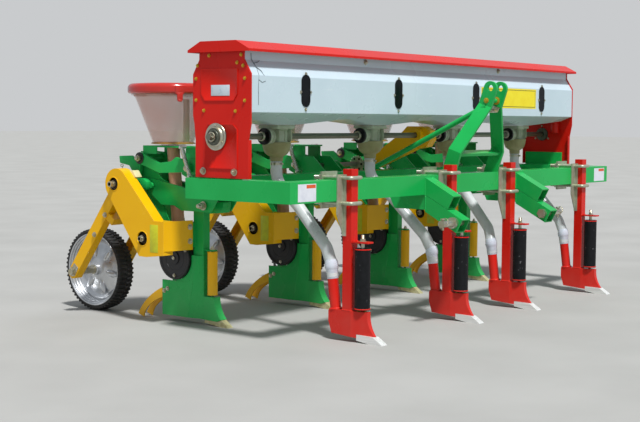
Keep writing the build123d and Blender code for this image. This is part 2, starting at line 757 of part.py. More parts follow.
with BuildPart() as seed_hoppers:
    with Locations(*across(row_x)):
        add(seed_hopper.part)
write("seed_hoppers", seed_hoppers)

# Hopper lids: rounded caps with a shoulder inside that rests on the hopper's rim.
with BuildPart() as cap:
    with BuildSketch(top_plane(cap_low)):
        with Locations((0, hopper_y)):
            Circle(cap_r)
    extrude(amount=cap_top - cap_low)
    fillet(cap.edges().group_by(Axis.Z)[-1], radius=18)
    fillet(cap.edges().group_by(Axis.Z)[0], radius=8)
    for r, top in ((cap_r - 12, hopper_high + seat_gap), (hopper_high_r - 14, cap_top - 4)):
        with BuildSketch(top_plane(cap_low - 1)):
            with Locations((0, hopper_y)):
                Circle(r)
        extrude(amount=top - cap_low + 1, mode=Mode.SUBTRACT)
    for side in (-1, 1):
        with BuildSketch(side_plane(side * 15.5)):
            with BuildLine():
                Polyline(
                    (hopper_y + cap_r - 6, cap_low + 8), (hopper_y + cap_r - 6, cap_low + 16),
                    (cap_hinge_y + 4, cap_hinge_z + 5), (cap_hinge_y - 4, cap_hinge_z), close=True,
                )
            make_face()
            with Locations((cap_hinge_y, cap_hinge_z)):
                Circle(6)
                Circle(hinge_pin_r + seat_gap, mode=Mode.SUBTRACT)
        extrude(amount=side * 14)
for number, x in enumerate(row_x, 1):
    with BuildPart() as hopper_lid:
        with Locations(Location((x, 0, 0))):
            add(cap.part)
    write(f"hopper_lid_{number}", hopper_lid)

# Seed meters: a flat drum between the side plates, with a chute from the hopper.
with BuildPart() as meter:
    with BuildSketch(side_plane(-unit_width + seat_gap)):
        with Locations(meter_centre):
            Circle(meter_r)
    extrude(amount=2 * (unit_width - seat_gap))
    chute_plane, chute_length = rod_plane((0, meter_centre[0] + 8, meter_centre[1] + 40), (0, hopper_y, table_z - 4))
    with BuildSketch(chute_plane):
        Circle(chute_r)
    extrude(amount=chute_length)
with BuildPart() as seed_meters:
    with Locations(*across(row_x)):
        add(meter.part)
write("seed_meters", seed_meters)

# Openers: a square shank, a hollow boot that flares behind it and a curved nose.
boot_half = 30.0
boot_wall = 4.0
boot_rear = 826.0
boot_top = 162.0
nose_reach = 90.0
opener_nose = opener_shank[0] - nose_reach
opener_top = 492.0
roller_reach = 32.0
opener_roller_y = opener_shank[0] - roller_reach
opener_roller_r = 19.5
opener_roller_low, opener_roller_high = 122.0, 282.0
opener_platform = 112.0
facet_top, facet_foot = 268.0, 24.0
lug_low, lug_high = 300.0, 395.0
panel_end = 34.0
boot_front = opener_shank[0] - 2
with BuildPart() as boot:
    with BuildSketch(top_plane(facet_foot)):
        with BuildLine():
            Polyline(
                (-opener_half, boot_front), (opener_half, boot_front), (boot_half, boot_front + 73), (boot_half, boot_rear),
                (-boot_half, boot_rear), (-boot_half, boot_front + 73), close=True,
            )
        make_face()
    with BuildSketch(top_plane(facet_top)):
        with BuildLine():
            Polyline(
                (-opener_half, boot_front), (opener_half, boot_front), (boot_half, boot_front + 28), (boot_half, boot_rear),
                (-boot_half, boot_rear), (-boot_half, boot_front + 28), close=True,
            )
        make_face()
    loft()
    with BuildSketch(side_plane(0)):
        with BuildLine():
            Polyline(
                (boot_front - 9, facet_foot), (boot_rear, facet_foot), (boot_rear, boot_top), (opener_shank[1] + 18, boot_top),
                (opener_shank[1] - 1, boot_top + 48), (opener_shank[1] - 1, facet_top), (boot_front - 9, facet_top), close=True,
            )
        make_face()
    extrude(amount=boot_half, both=True, mode=Mode.INTERSECT)
    with BuildSketch(top_plane(60)):
        with Locations((0, (690 + boot_rear + 1) / 2)):
            Rectangle(2 * (boot_half - boot_wall), boot_rear + 1 - 690)
    extrude(amount=boot_top, mode=Mode.SUBTRACT)
with BuildPart() as opener:
    with Locations(at(0, sum(opener_shank) / 2, (opener_top + 40) / 2)):
        Box(2 * opener_half, opener_shank[1] - opener_shank[0], opener_top - 40)
    with BuildSketch(side_plane(0)):
        with BuildLine():
            Polyline(
                (opener_nose + 34, opener_platform), (opener_shank[1] - 8, opener_platform), (opener_shank[1] - 8, facet_foot),
                (opener_nose + 19, facet_foot - 4), (opener_nose, facet_foot + 4),
            )
            ThreePointArc((opener_nose, facet_foot + 4), (opener_nose + 23, 62), (opener_nose + 34, opener_platform))
        make_face()
    extrude(amount=opener_half, both=True)
    add(boot.part)
    with BuildSketch(top_plane(opener_platform - 4)):
        with Locations((0, opener_roller_y)):
            Circle(5)
    extrude(amount=opener_roller_high + 22 - opener_platform)
    with Locations(at(0, (opener_roller_y - 10 + opener_shank[0]) / 2 + 2, opener_roller_high + 8)):
        Box(24, opener_shank[0] - opener_roller_y + 20, 5)
    with BuildSketch(top_plane(lug_low)):
        with BuildLine():
            Polyline(
                (-opener_half + 1, opener_shank[1] - 10), (-panel_end, opener_shank[1] - 7.1), (-panel_end - 26, opener_shank[1] - 2.4),
                (-panel_end - 26, opener_shank[1] + 3), (-opener_half + 1, opener_shank[1] - 4), close=True,
            )
        make_face()
    extrude(amount=lug_high - lug_low)
with BuildPart() as openers:
    with Locations(*across(row_x)):
        add(opener.part)
write("openers", openers)

# Brass-coloured points under the openers.
opener_tip = opener_nose - 36
with BuildPart() as opener_point:
    with BuildSketch(side_plane(0)):
        with BuildLine():
            Polyline(
                (opener_tip, 0), (opener_tip + 6, 6), (opener_nose - seat_gap, 27), (opener_nose + 19, 20 - seat_gap),
                (opener_nose + 86, 22.5 - seat_gap), (opener_nose + 86, 10), (opener_tip + 34, 0), close=True,
            )
        make_face()
    extrude(amount=14, both=True)
with BuildPart() as opener_points:
    with Locations(*across(row_x)):
        add(opener_point.part)
write("opener_points", opener_points)

# Coverers: curved plates inside each boot's sides that draw soil back over the row.
coverer_x = boot_half - boot_wall - seat_gap
coverer_thick = 5.0
with BuildPart() as coverer:
    for side in (-1, 1):
        with BuildSketch(side_plane(side * coverer_x)):
            with BuildLine():
                Spline(
                    (boot_rear - 36, 144), (boot_rear + 7, 129), (boot_rear + 67, 95), (boot_rear + 116, 51), (boot_rear + 141, 13),
                )
                Line((boot_rear + 141, 13), (boot_rear + 110, 2))
                Spline(
                    (boot_rear + 110, 2), (boot_rear + 100, 29), (boot_rear + 59, 66), (boot_rear + 7, 90), (boot_rear - 36, 100),
                )
                Line((boot_rear - 36, 100), (boot_rear - 36, 144))
            make_face()
        extrude(amount=-side * coverer_thick)
with BuildPart() as coverers:
    with Locations(*across(row_x)):
        add(coverer.part)
write("coverers", coverers)

# Chain cases: a sheet cover outside each unit, open inwards, with a bracket to the opener's shank.
case_outer, case_depth = 168.0, 50.0
case_sheet = 3.0
arm_outer, arm_thick = 142.0, 38.0
arm_width, arm_sheet = 46.0, 4.0
arm_toe, arm_clip = 28.0, 12.0
arm_run, arm_fall = wheel_y - wheel_pivot[0], wheel_pivot[1] - tyre_r
arm_length = (arm_run ** 2 + arm_fall ** 2) ** 0.5


def arm_plane(x):
    return Plane(origin=at(x, *wheel_pivot), x_dir=(0, arm_run, -arm_fall), z_dir=(1, 0, 0))


case_crown, case_crown_r = (941.0, 537.0), 61.0
case_front, case_low, case_high = 680.0, 275.0, 404.0
case_toe = (813.0, 265.0)


def crown_touch(corner, side):
    # The point where a straight edge from a corner meets the case's round top.
    run, rise = case_crown[0] - corner[0], case_crown[1] - corner[1]
    span = hypot(run, rise)
    turn = atan2(rise, run) + side * asin(case_crown_r / span)
    reach = sqrt(span ** 2 - case_crown_r ** 2)
    return corner[0] + reach * cos(turn), corner[1] + reach * sin(turn)


case_step = (730.0, case_high + 1)


with BuildPart() as chain_case:
    for inset, depth, mode in ((0, case_depth, Mode.ADD), (case_sheet, case_depth, Mode.SUBTRACT)):
        start = -case_outer + (case_sheet if inset else 0)
        with BuildSketch(side_plane(start)):
            with BuildLine():
                crown_start, crown_end = crown_touch(case_step, 1), crown_touch(case_toe, -1)
                crown_far = (case_crown[0] + case_crown_r * cos(radians(45)), case_crown[1] + case_crown_r * sin(radians(45)))
                Polyline(crown_end, case_toe, (774, 264), (case_front, case_low), (case_front, case_high), case_step, crown_start)
                ThreePointArc(crown_start, crown_far, crown_end)
            make_face()
            if inset:
                offset(amount=-inset, mode=Mode.REPLACE)
        extrude(amount=depth, mode=mode)
    for y, z, r in ((*wheel_pivot, 25), (*meter_shaft, 27)):
        with BuildSketch(side_plane(-case_outer)):
            with Locations((y, z)):
                Circle(r)
        extrude(amount=case_sheet, mode=Mode.SUBTRACT)
    with BuildSketch(arm_plane(-case_outer + case_sheet)):
        with Locations((arm_length / 2, 0)):
            Rectangle(arm_length + 80, arm_width + 8)
    extrude(amount=case_depth, mode=Mode.SUBTRACT)
    with BuildSketch(top_plane(290)):
        with BuildLine():
            Polyline(
                (-case_outer, case_front), (-panel_end, opener_shank[1] - 12), (-panel_end, opener_shank[1] - 7.5),
                (-case_outer, case_front + 4.5), close=True,
            )
        make_face()
    extrude(amount=case_high - 290)
with BuildPart() as chain_cases:
    with Locations(*across(row_x)):
        add(chain_case.part)
write("chain_cases", chain_cases)

# Unit shafts: the wheel arms' pivot, the meter's drive shaft and the wheel axle.
wheel_axle_r = 11.0
with BuildPart() as shaft_set:
    for y, z, start, end, r in (
        (*wheel_pivot, -case_outer - 22, arm_outer + 8, wheel_axle_r), (*meter_shaft, -case_outer - 16, -plate_half, 9),
        (wheel_y, tyre_r, -arm_outer - 14, arm_outer + 14, wheel_axle_r),
    ):
        with BuildSketch(side_plane(start)):
            with Locations((y, z)):
                Circle(r)
        extrude(amount=end - start)
with BuildPart() as unit_shafts:
    with Locations(*across(row_x)):
        add(shaft_set.part)
write("unit_shafts", unit_shafts)

# Wheel arms: a channel on each side of the wheel with a bar between them.
with BuildPart() as arm_set:
    for side in (-1, 1):
        for inset, mode in ((0, Mode.ADD), (arm_sheet, Mode.SUBTRACT)):
            half, end = arm_width / 2 - inset, arm_length + arm_toe - inset
            with BuildSketch(arm_plane(side * (arm_outer - inset))):
                Circle(half)
                with BuildLine():
                    Polyline(
                        (0, half), (end - arm_clip, half), (end, half - arm_clip), (end, arm_clip - half),
                        (end - arm_clip, -half), (0, -half), close=True,
                    )
                make_face()
            extrude(amount=-side * arm_thick, mode=mode)
        with BuildSketch(arm_plane(side * arm_outer)):
            with Locations((0, 0), (arm_length, 0)):
                Circle(wheel_axle_r + seat_gap)
        extrude(amount=-side * arm_thick, mode=Mode.SUBTRACT)
    with BuildSketch(arm_plane(-arm_outer + arm_sheet - 1)):
        with Locations((0.32 * arm_length, -arm_width / 2 - 13)):
            Rectangle(28, 52)
    extrude(amount=2 * (arm_outer - arm_sheet + 1))
with BuildPart() as wheel_arms:
    with Locations(*across(row_x)):
        add(arm_set.part)
write("wheel_arms", wheel_arms)

# Press wheels: a dished steel rim on a hub, and a lugged tyre.
hub_half = 34.0
hub_outer_r = 24.0
disc_thickness = 3.0
lug_count = 40
lug_height = 6.0
wheel_centre = (wheel_y, tyre_r)
axis_line = Axis(at(0, wheel_y, tyre_r), (1, 0, 0))
with BuildPart() as rim:
    with BuildSketch(Plane(origin=at(0, wheel_y, tyre_r), x_dir=(1, 0, 0), z_dir=(0, -1, 0))):
        with BuildLine():
            Polyline(
                (-tyre_width / 2 + 1, rim_r), (-tyre_width / 2 + 9, rim_r - 1), (-tyre_width / 2 + 16, rim_r - 14),
                (tyre_width / 2 - 16, rim_r - 14), (tyre_width / 2 - 9, rim_r - 1), (tyre_width / 2 - 1, rim_r),
                (tyre_width / 2 - 1, rim_r - 4), (tyre_width / 2 - 10, rim_r - 5), (tyre_width / 2 - 18, rim_r - 18),
                (6, rim_r - 18), (disc_thickness, rim_r - 40), (disc_thickness, hub_outer_r), (hub_half, hub_outer_r),
                (hub_half, wheel_axle_r + shaft_gap), (-hub_half, wheel_axle_r + shaft_gap), (-hub_half, hub_outer_r),
                (0, hub_outer_r), (0, rim_r - 40), (-4, rim_r - 18), (-tyre_width / 2 + 18, rim_r - 18),
                (-tyre_width / 2 + 10, rim_r - 5), (-tyre_width / 2 + 1, rim_r - 4), close=True,
            )
        make_face()
    revolve(axis=axis_line)
with BuildPart() as tyre:
    with BuildSketch(Plane(origin=at(0, wheel_y, tyre_r), x_dir=(1, 0, 0), z_dir=(0, -1, 0))):
        with BuildLine():
            Polyline(
                (-tyre_width / 2, rim_r + seat_gap), (-tyre_width / 2 - 2, rim_r + 8), (-tyre_width / 2 + 6, tyre_r - lug_height),
                (tyre_width / 2 - 6, tyre_r - lug_height), (tyre_width / 2 + 2, rim_r + 8), (tyre_width / 2, rim_r + seat_gap), close=True,
            )
        make_face()
    revolve(axis=axis_line)
    with BuildSketch(Plane(origin=at(-tyre_width / 2 + 4, wheel_y, tyre_r), x_dir=(0, 1, 0), z_dir=(1, 0, 0))):
        with PolarLocations(tyre_r - lug_height / 2 - 1, lug_count, start_angle=90):
            Rectangle(lug_height + 2, 12)
    extrude(amount=tyre_width - 8)
for number, x in enumerate(row_x, 1):
    for name, piece in ((f"rim_{number}", rim), (f"tyre_{number}", tyre)):
        with BuildPart() as wheel_piece:
            with Locations(Location((x, 0, 0))):
                add(piece.part)
        write(name, wheel_piece)

# Rollers that turn on upright bolts in front of the shanks and openers.
end_cap = 4.0
for kind, places, y, r, bore, low, high in (
    ("shank_roller", shank_x, roller_y, roller_r, axle_r + shaft_gap, roller_low - 6, roller_high + 6),
    ("opener_roller", row_x, opener_roller_y, opener_roller_r, 5 + shaft_gap, opener_roller_low - 4, opener_roller_high),
):
    for number, x in enumerate(places, 1):
        with BuildPart() as roller:
            with BuildSketch(top_plane(low)):
                with Locations((x, y)):
                    Circle(r)
                    Circle(bore, mode=Mode.SUBTRACT)
            extrude(amount=high - low)
        write(f"{kind}_{number}", roller)

# Drive case: a chain cover from the cross shaft behind the rear beam up to the feed shaft.
drive_x = 84.0
drive_width = 46.0
drive_foot = (600.0, 600.0)
with BuildPart() as drive_case:
    for inset, mode in ((0, Mode.ADD), (3.0, Mode.SUBTRACT)):
        with BuildSketch(side_plane(drive_x + (inset if inset else 0))):
            with BuildLine():
                Polyline(
                    (feed_y - 62, feed_z - 20), (feed_y - 58, feed_z + 20), (feed_y - 20, feed_z + 38), (feed_y + 60, feed_z + 38),
                    (feed_y + 90, feed_z + 10), (628, 612), (620, 580), (580, 580), (feed_y + 20, feed_z - 60), (feed_y - 40, feed_z - 50),
                    close=True,
                )
            make_face()
            if inset:
                offset(amount=-inset, mode=Mode.REPLACE)
        extrude(amount=drive_width, mode=mode)
    with BuildSketch(side_plane(drive_x - 30)):
        with Locations((feed_y, feed_z)):
            Circle(30)
            Circle(bearing_bore, mode=Mode.SUBTRACT)
    extrude(amount=40)
    with BuildSketch(side_plane(drive_x - 40)):
        with Locations((feed_y, feed_z)):
            Circle(bearing_bore)
    extrude(amount=120, mode=Mode.SUBTRACT)
write("drive_case", drive_case)
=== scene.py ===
import math

import bmesh
import bpy
from mathutils import Matrix, Vector


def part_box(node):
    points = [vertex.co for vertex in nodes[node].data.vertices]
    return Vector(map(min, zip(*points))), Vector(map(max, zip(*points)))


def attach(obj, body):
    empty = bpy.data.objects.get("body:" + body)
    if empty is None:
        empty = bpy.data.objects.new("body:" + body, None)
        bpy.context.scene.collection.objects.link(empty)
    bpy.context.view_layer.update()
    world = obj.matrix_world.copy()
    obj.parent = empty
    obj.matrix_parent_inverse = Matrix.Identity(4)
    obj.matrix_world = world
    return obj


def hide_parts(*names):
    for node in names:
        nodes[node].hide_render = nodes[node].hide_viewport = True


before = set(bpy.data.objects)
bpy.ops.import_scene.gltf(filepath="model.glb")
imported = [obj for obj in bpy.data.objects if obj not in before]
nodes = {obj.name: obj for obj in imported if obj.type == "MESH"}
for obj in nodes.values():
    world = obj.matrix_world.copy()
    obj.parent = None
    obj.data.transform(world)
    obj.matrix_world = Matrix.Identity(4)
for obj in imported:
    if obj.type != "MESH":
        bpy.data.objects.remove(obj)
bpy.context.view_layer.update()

# Camera: it stands at waist height ahead of the machine's near corner, and looks along the front beam
# towards its far end. It has a long lens, so the far rows look only a little smaller.
camera = bpy.data.objects.new("camera", bpy.data.cameras.new("camera"))
bpy.context.scene.collection.objects.link(camera)
camera.data.sensor_width = 36.0
camera.data.lens = 71.56
camera.data.clip_end = 200.0
camera.location = (-4.5008, -3.3628, 0.7900)
yaw, tilt, roll = (math.radians(turn) for turn in (-51.541, 90 - 4.077, 0.423))
aim = Matrix.Rotation(yaw, 4, "Z") @ Matrix.Rotation(tilt, 4, "X") @ Matrix.Rotation(roll, 4, "Z")
camera.rotation_mode = "QUATERNION"
camera.rotation_quaternion = aim.to_quaternion()
bpy.context.scene.camera = camera
bpy.context.scene.view_settings.view_transform = "Standard"


# Studio: a pale concrete floor under an even pale sky, with one broad lamp high up in front of the
# machine and to its near side.
def linear(hex_colour):
    # An sRGB hex colour as the linear one that shaders take.
    channels = [int(hex_colour[i:i + 2], 16) / 255 for i in (1, 3, 5)]
    return [c / 12.92 if c <= 0.04045 else ((c + 0.055) / 1.055) ** 2.4 for c in channels] + [1.0]


def node(owner, kind, inputs=None, **settings):
    # Adds one node with its settings. Each input is a fixed value or another node's output.
    made = owner.node_tree.nodes.new(kind)
    for key, value in settings.items():
        setattr(made, key, value)
    for key, value in (inputs or {}).items():
        if isinstance(value, bpy.types.NodeSocket):
            owner.node_tree.links.new(value, made.inputs[key])
        else:
            made.inputs[key].default_value = value
    return made


def surface(name, tones, patch, rough, grain=None, depth=0.0, stretch=None, ease=0.0, **fixed):
    # A finish whose colour and shine drift between two states in patches of some millimetres. Where asked
    # it has eased edges and a grain, whose size in millimetres is coarser than real so that it shows.
    material = bpy.data.materials.new(name)
    material.use_nodes = True
    shader = material.node_tree.nodes["Principled BSDF"]
    link = material.node_tree.links.new
    place = node(material, "ShaderNodeTexCoord").outputs["Object"]
    if stretch:
        place = node(material, "ShaderNodeMapping", {"Vector": place, "Scale": stretch}).outputs[0]
    drift = node(material, "ShaderNodeTexNoise", {"Vector": place, "Scale": 1000 / patch, "Detail": 5.0})
    share = node(material, "ShaderNodeMapRange", {0: drift.outputs["Fac"], 1: 0.32, 2: 0.68}).outputs[0]
    ends = {6: linear(tones[0]), 7: linear(tones[1])}
    link(node(material, "ShaderNodeMix", {0: share, **ends}, data_type="RGBA").outputs[2],
         shader.inputs["Base Color"])
    link(node(material, "ShaderNodeMapRange", {0: share, 3: rough[0], 4: rough[1]}).outputs[0],
         shader.inputs["Roughness"])
    normal = None
    if ease:
        normal = node(material, "ShaderNodeBevel", {"Radius": ease / 1000}, samples=4).outputs[0]
    if grain:
        speck = node(material, "ShaderNodeTexNoise", {"Vector": place, "Scale": 1000 / grain, "Detail": 2.0})
        bump = {"Height": speck.outputs["Fac"], "Strength": 0.3, "Distance": depth / 1000}
        if normal:
            bump["Normal"] = normal
        normal = node(material, "ShaderNodeBump", bump).outputs[0]
    if normal:
        link(normal, shader.inputs["Normal"])
    for key, value in fixed.items():
        shader.inputs[key.replace("_", " ")].default_value = value
    return material


# Float-finished concrete: dull, with pale patches half a metre wide and grit drawn at 6 mm.
concrete = surface("float_finished_concrete", ("#A3A29E", "#ABAAA6"), 500, (0.85, 0.95), grain=6, depth=0.6)
plane = bmesh.new()
bmesh.ops.create_grid(plane, x_segments=1, y_segments=1, size=60)
floor_mesh = bpy.data.meshes.new("floor")
plane.to_mesh(floor_mesh)
plane.free()
floor = bpy.data.objects.new("floor", floor_mesh)
floor.data.materials.append(concrete)
bpy.context.scene.collection.objects.link(floor)

world = bpy.data.worlds.new("studio")
bpy.context.scene.world = world
world.use_nodes = True
# The sky lights the machine a little less than it shows behind it.
seen = node(world, "ShaderNodeLightPath").outputs["Is Camera Ray"]
skies = {6: linear("#ABB1B8"), 7: linear("#C9CBCD")}
sky = node(world, "ShaderNodeMix", {0: seen, **skies}, data_type="RGBA").outputs[2]
world.node_tree.links.new(sky, world.node_tree.nodes["Background"].inputs["Color"])
lamp = bpy.data.objects.new("key_lamp", bpy.data.lights.new("key_lamp", "SUN"))
lamp.data.energy = 3.8
lamp.data.angle = math.radians(6)
lamp.rotation_mode = "QUATERNION"
lamp.rotation_quaternion = Vector((0.24, 0.42, -0.87)).to_track_quat("-Z", "Y")
bpy.context.scene.collection.objects.link(lamp)


# Frame of welded square tube, sprayed with green gloss enamel over primer. Its welds are low, hand-laid
# beads. A blank white sticker with an orange corner is near each end of the front beam.
front_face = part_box("frame_beams")[0].y


def spot(x, y, z):
    # Millimetres from the machine's middle, the front beam's face and the ground, to scene metres.
    return Vector((x / 1000, y / 1000 + front_face, z / 1000))


def lay_over(material, share, colour):
    # Lays a second colour over a finish, as far as the share says.
    base = material.node_tree.nodes["Principled BSDF"].inputs["Base Color"]
    tones = {6: base.links[0].from_socket, 7: linear(colour)}
    mixed = node(material, "ShaderNodeMix", {0: share, **tones}, data_type="RGBA")
    material.node_tree.links.new(mixed.outputs[2], base)


def enamel(name, tones, thin_coat_and_highlight):
    # Sprayed gloss enamel: tone drifts over 250 mm, and edges are lighter, partly as the coat is thin there
    # and partly as a painted highlight. Orange peel is drawn at 5 mm instead of 2 mm so that it shows, and
    # dust lies on the lowest parts in 60 mm patches.
    material = surface(name, tones, 250, (0.2, 0.32), grain=5, depth=0.25, ease=1.5, Specular_IOR_Level=0.22)
    rounded = node(material, "ShaderNodeBevel", {"Radius": 0.0014}, samples=4).outputs[0]
    flat = node(material, "ShaderNodeNewGeometry").outputs["Normal"]
    edge = node(material, "ShaderNodeVectorMath", {0: rounded, 1: flat}, operation="DOT_PRODUCT")
    # Edges are mixed towards the lighter tone: a thin coat and a painted highlight along each edge.
    edge_wear_and_highlight = {0: edge.outputs["Value"], 1: 0.985, 2: 0.86, 4: 0.45}
    lay_over(material, node(material, "ShaderNodeMapRange", edge_wear_and_highlight).outputs[0], thin_coat_and_highlight)
    place = node(material, "ShaderNodeTexCoord").outputs["Object"]
    dust = node(material, "ShaderNodeTexNoise", {"Vector": place, "Scale": 1000 / 60, "Detail": 6.0})
    height = node(material, "ShaderNodeSeparateXYZ", {0: place}).outputs["Z"]
    low = node(material, "ShaderNodeMapRange", {0: height, 1: 0.0, 2: 0.25, 3: 0.16, 4: 0.004}).outputs[0]
    lying = node(material, "ShaderNodeMath", {0: low, 1: dust.outputs[0]}, operation="MULTIPLY").outputs[0]
    lay_over(material, lying, "#A79F90")
    return material


def coat_nodes(material, *names):
    # Gives carried-over CAD nodes their finish.
    for name in names:
        nodes[name].data.materials.clear()
        nodes[name].data.materials.append(material)


def fit(name, mesh, finishes, body, sharp=32):
    # Closes a mesh off as a piece: outward faces, smooth rounds, its finishes and the body it rides on.
    bmesh.ops.remove_doubles(mesh, verts=mesh.verts, dist=1e-6)
    bmesh.ops.recalc_face_normals(mesh, faces=mesh.faces)
    for face in mesh.faces:
        face.smooth = True
    for edge in mesh.edges:
        edge.smooth = len(edge.link_faces) == 2 and edge.calc_face_angle() < math.radians(sharp)
    data = bpy.data.meshes.new(name)
    mesh.to_mesh(data)
    mesh.free()
    for made in finishes:
        data.materials.append(made)
    piece = bpy.data.objects.new(name, data)
    bpy.context.scene.collection.objects.link(piece)
    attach(piece, body)
    return piece


def ease_edges(mesh, faces, ease):
    # Rounds the edges of the given faces by some millimetres.
    if ease:
        bmesh.ops.bevel(mesh, geom=list({e for f in faces for e in f.edges}), offset=ease / 1000, segments=2,
                        profile=0.5, affect="EDGES", material=-1)


def slab(mesh, low, high, ease=0.0, index=0):
    # A block between two corners, with eased edges.
    low, high = spot(*low), spot(*high)
    made = bmesh.ops.create_cube(mesh, size=1.0, matrix=Matrix.Translation((low + high) / 2)
                                 @ Matrix.Diagonal((*(high - low), 1)))["verts"]
    faces = list({f for v in made for f in v.link_faces})
    for face in faces:
        face.material_index = index
    ease_edges(mesh, faces, ease)


def weld(mesh, start, end, r=3.2, step=7.0):
    # A hand-laid weld: a row of overlapping low ripples.
    start, end = Vector(start), Vector(end)
    count = max(2, int((end - start).length / step))
    turn = (spot(*end) - spot(*start)).to_track_quat("Z", "Y").to_matrix().to_4x4()
    for i in range(count):
        middle = spot(*start.lerp(end, (i + 0.5) / count))
        bmesh.ops.create_uvsphere(mesh, u_segments=8, v_segments=5, radius=r / 1000,
                                  matrix=Matrix.Translation(middle) @ turn @ Matrix.Diagonal((1, 1, 1.6, 1)))


green = enamel("green_gloss_enamel", ("#19A54C", "#20B156"), "#46CB78")
coat_nodes(green, "frame_beams")
# Printed vinyl: smooth, a little dirty in spots 25 mm wide.
white_vinyl = surface("white_sticker_vinyl", ("#E6E8EE", "#D6D9E2"), 25, (0.3, 0.45))
orange_vinyl = surface("orange_sticker_vinyl", ("#E5602A", "#D65524"), 25, (0.3, 0.45))
sticker_low, sticker_high = 510, 571
stickers = bmesh.new()
for left, right in ((-1158, -1059), (1064, 1170)):
    slab(stickers, (left, -0.5, sticker_low), (right, 0.2, sticker_high))
    slab(stickers, (left + 46, -0.7, sticker_high - 15), (right - 3, 0.1, sticker_high - 3), index=1)
fit("beam_stickers", stickers, [white_vinyl, orange_vinyl], "frame")

beam_top = 579.5
frame_welds = bmesh.new()
for side in (-1, 1):
    # At the hitch arms' sides, the mast's foot and the end plates' tabs.
    for x in (side * 322, side * 380):
        weld(frame_welds, (x, -0.6, 572), (x, -0.6, 444), 2.8)
    weld(frame_welds, (side * 171.5, 4, beam_top), (side * 171.5, 62, beam_top), 2.8)
    for x in (side * 1186.5, side * 1177.5):
        weld(frame_welds, (x, 240, beam_top), (x, 432, beam_top), 2.6)
weld(frame_welds, (-126, 452, 580), (-104, 440, 580), 3.0)
fit("frame_welds", frame_welds, [green], "frame")


# Mast of two flat bars and one round stay, cut and bent, welded to the frame and sprayed green.
# A plated rod with four nuts and a pale U-shaped spacer hold the ears apart.
def rod(mesh, start, end, r, sides=24, ease=0.0, end_r=None, index=0):
    # A bar of any number of sides between two points, its ends eased.
    start, end = spot(*start), spot(*end)
    turn = (end - start).to_track_quat("Z", "Y").to_matrix().to_4x4()
    made = bmesh.ops.create_cone(mesh, cap_ends=True, segments=sides, radius1=r / 1000,
                                 radius2=(r if end_r is None else end_r) / 1000, depth=(end - start).length,
                                 matrix=Matrix.Translation((start + end) / 2) @ turn)["verts"]
    faces = list({f for v in made for f in v.link_faces})
    for face in faces:
        face.material_index = index
    ease_edges(mesh, [f for f in faces if len(f.verts) == sides], ease)


def bolt(mesh, place, way, head=9.0, high=6.5, washer=12.0, stub=0.0, stub_r=4.5, index=0):
    # A hexagonal nut or head on its washer, with the thread's end standing out where there is one.
    way = Vector(way).normalized()
    start = Vector(place)
    if washer:
        rod(mesh, start, start + way * 2.0, washer, 20, index=index)
    rod(mesh, start + way * 1.5, start + way * (2.0 + high), head, 6, 0.8, index=index)
    if stub:
        rod(mesh, start + way * high, start + way * (2.0 + high + stub), stub_r, 12, 0.6, index=index)


def sheet_cut(mesh, corners, depth, ease=0.0):
    # A flat outline, given by its corners, thickened along a depth vector.
    first = mesh.faces.new([mesh.verts.new(spot(*c)) for c in corners])
    raised = bmesh.ops.extrude_face_region(mesh, geom=[first], use_keep_orig=True)["geom"]
    moved = [g for g in raised if isinstance(g, bmesh.types.BMVert)]
    bmesh.ops.translate(mesh, vec=Vector(depth) / 1000, verts=moved)
    faces = list({f for v in moved for f in v.link_faces} | {first})
    bmesh.ops.recalc_face_normals(mesh, faces=faces)
    ease_edges(mesh, faces, ease)


coat_nodes(green, "hitch_mast", "hitch_arms")
# Zinc plate on turned steel: a soft metal shine, with pale yellow passivation in patches of 30 mm.
zinc = surface("zinc_plate", ("#C9C7BC", "#B9B193"), 30, (0.24, 0.42), grain=2.4, depth=0.2, Metallic=0.9)
# Yellow chromate on zinc: the same shine in a brassy yellow, uneven over 18 mm.
gold_zinc = surface("yellow_chromate", ("#E3C34A", "#C9A63A"), 18, (0.3, 0.45), grain=2.4, depth=0.2,
                    Metallic=0.75)
lean = math.radians(18.5)
foot_y, foot_z = 32, 579
ear_hole = 312


def up_mast(x, along, out=0.0):
    # A place on the leaning mast: across, along it from its foot, and out of its front.
    return (x, foot_y - along * math.sin(lean) - out * math.cos(lean),
            foot_z + along * math.cos(lean) - out * math.sin(lean))


mast_bolts = bmesh.new()
for x, side, head in ((-45, -1, 8.5), (45, 1, 8.5), (33, -1, 14), (-33, 1, 14)):
    bolt(mast_bolts, up_mast(x, ear_hole), (side, 0, 0), head, 6, head + 2.5)
fit("mast_bolts", mast_bolts, [gold_zinc], "frame")
# The spacer's two sides and its floor, each as pairs of a place along the mast and one out of it.
spacer = bmesh.new()
for left, wide, ease, outline in ((-32.5, 4, 1.0, ((270, -16), (270, 22), (290, 26), (290, -16))),
                                  (28.5, 4, 1.0, ((270, -16), (270, 22), (290, 26), (290, -16))),
                                  (-32.5, 65, 0.8, ((268, -16), (268, 22), (272, 22), (272, -16)))):
    sheet_cut(spacer, [up_mast(left, along, out) for along, out in outline], (wide, 0, 0), ease)
rod(spacer, up_mast(-50, ear_hole), up_mast(50, ear_hole), 5, 16)
fit("mast_spacer", spacer, [zinc], "frame")


# Lower hitch pins: turned steel pins, zinc plated, through the lower arms. A linch pin with a sprung
# wire ring goes through each pin's end, where it keeps the tractor's link on.
coat_nodes(zinc, "hitch_pins")
linch_x, pin_y, pin_z = 456, -132.8, 401.9


def spun(mesh, outline, centre, axis, steps):
    # Turns an outline of points and edges once round an axis.
    bmesh.ops.spin(mesh, geom=outline, cent=centre, axis=axis, dvec=(0, 0, 0), angle=math.tau, steps=steps,
                   use_merge=True, use_normal_flip=False, use_duplicate=False)


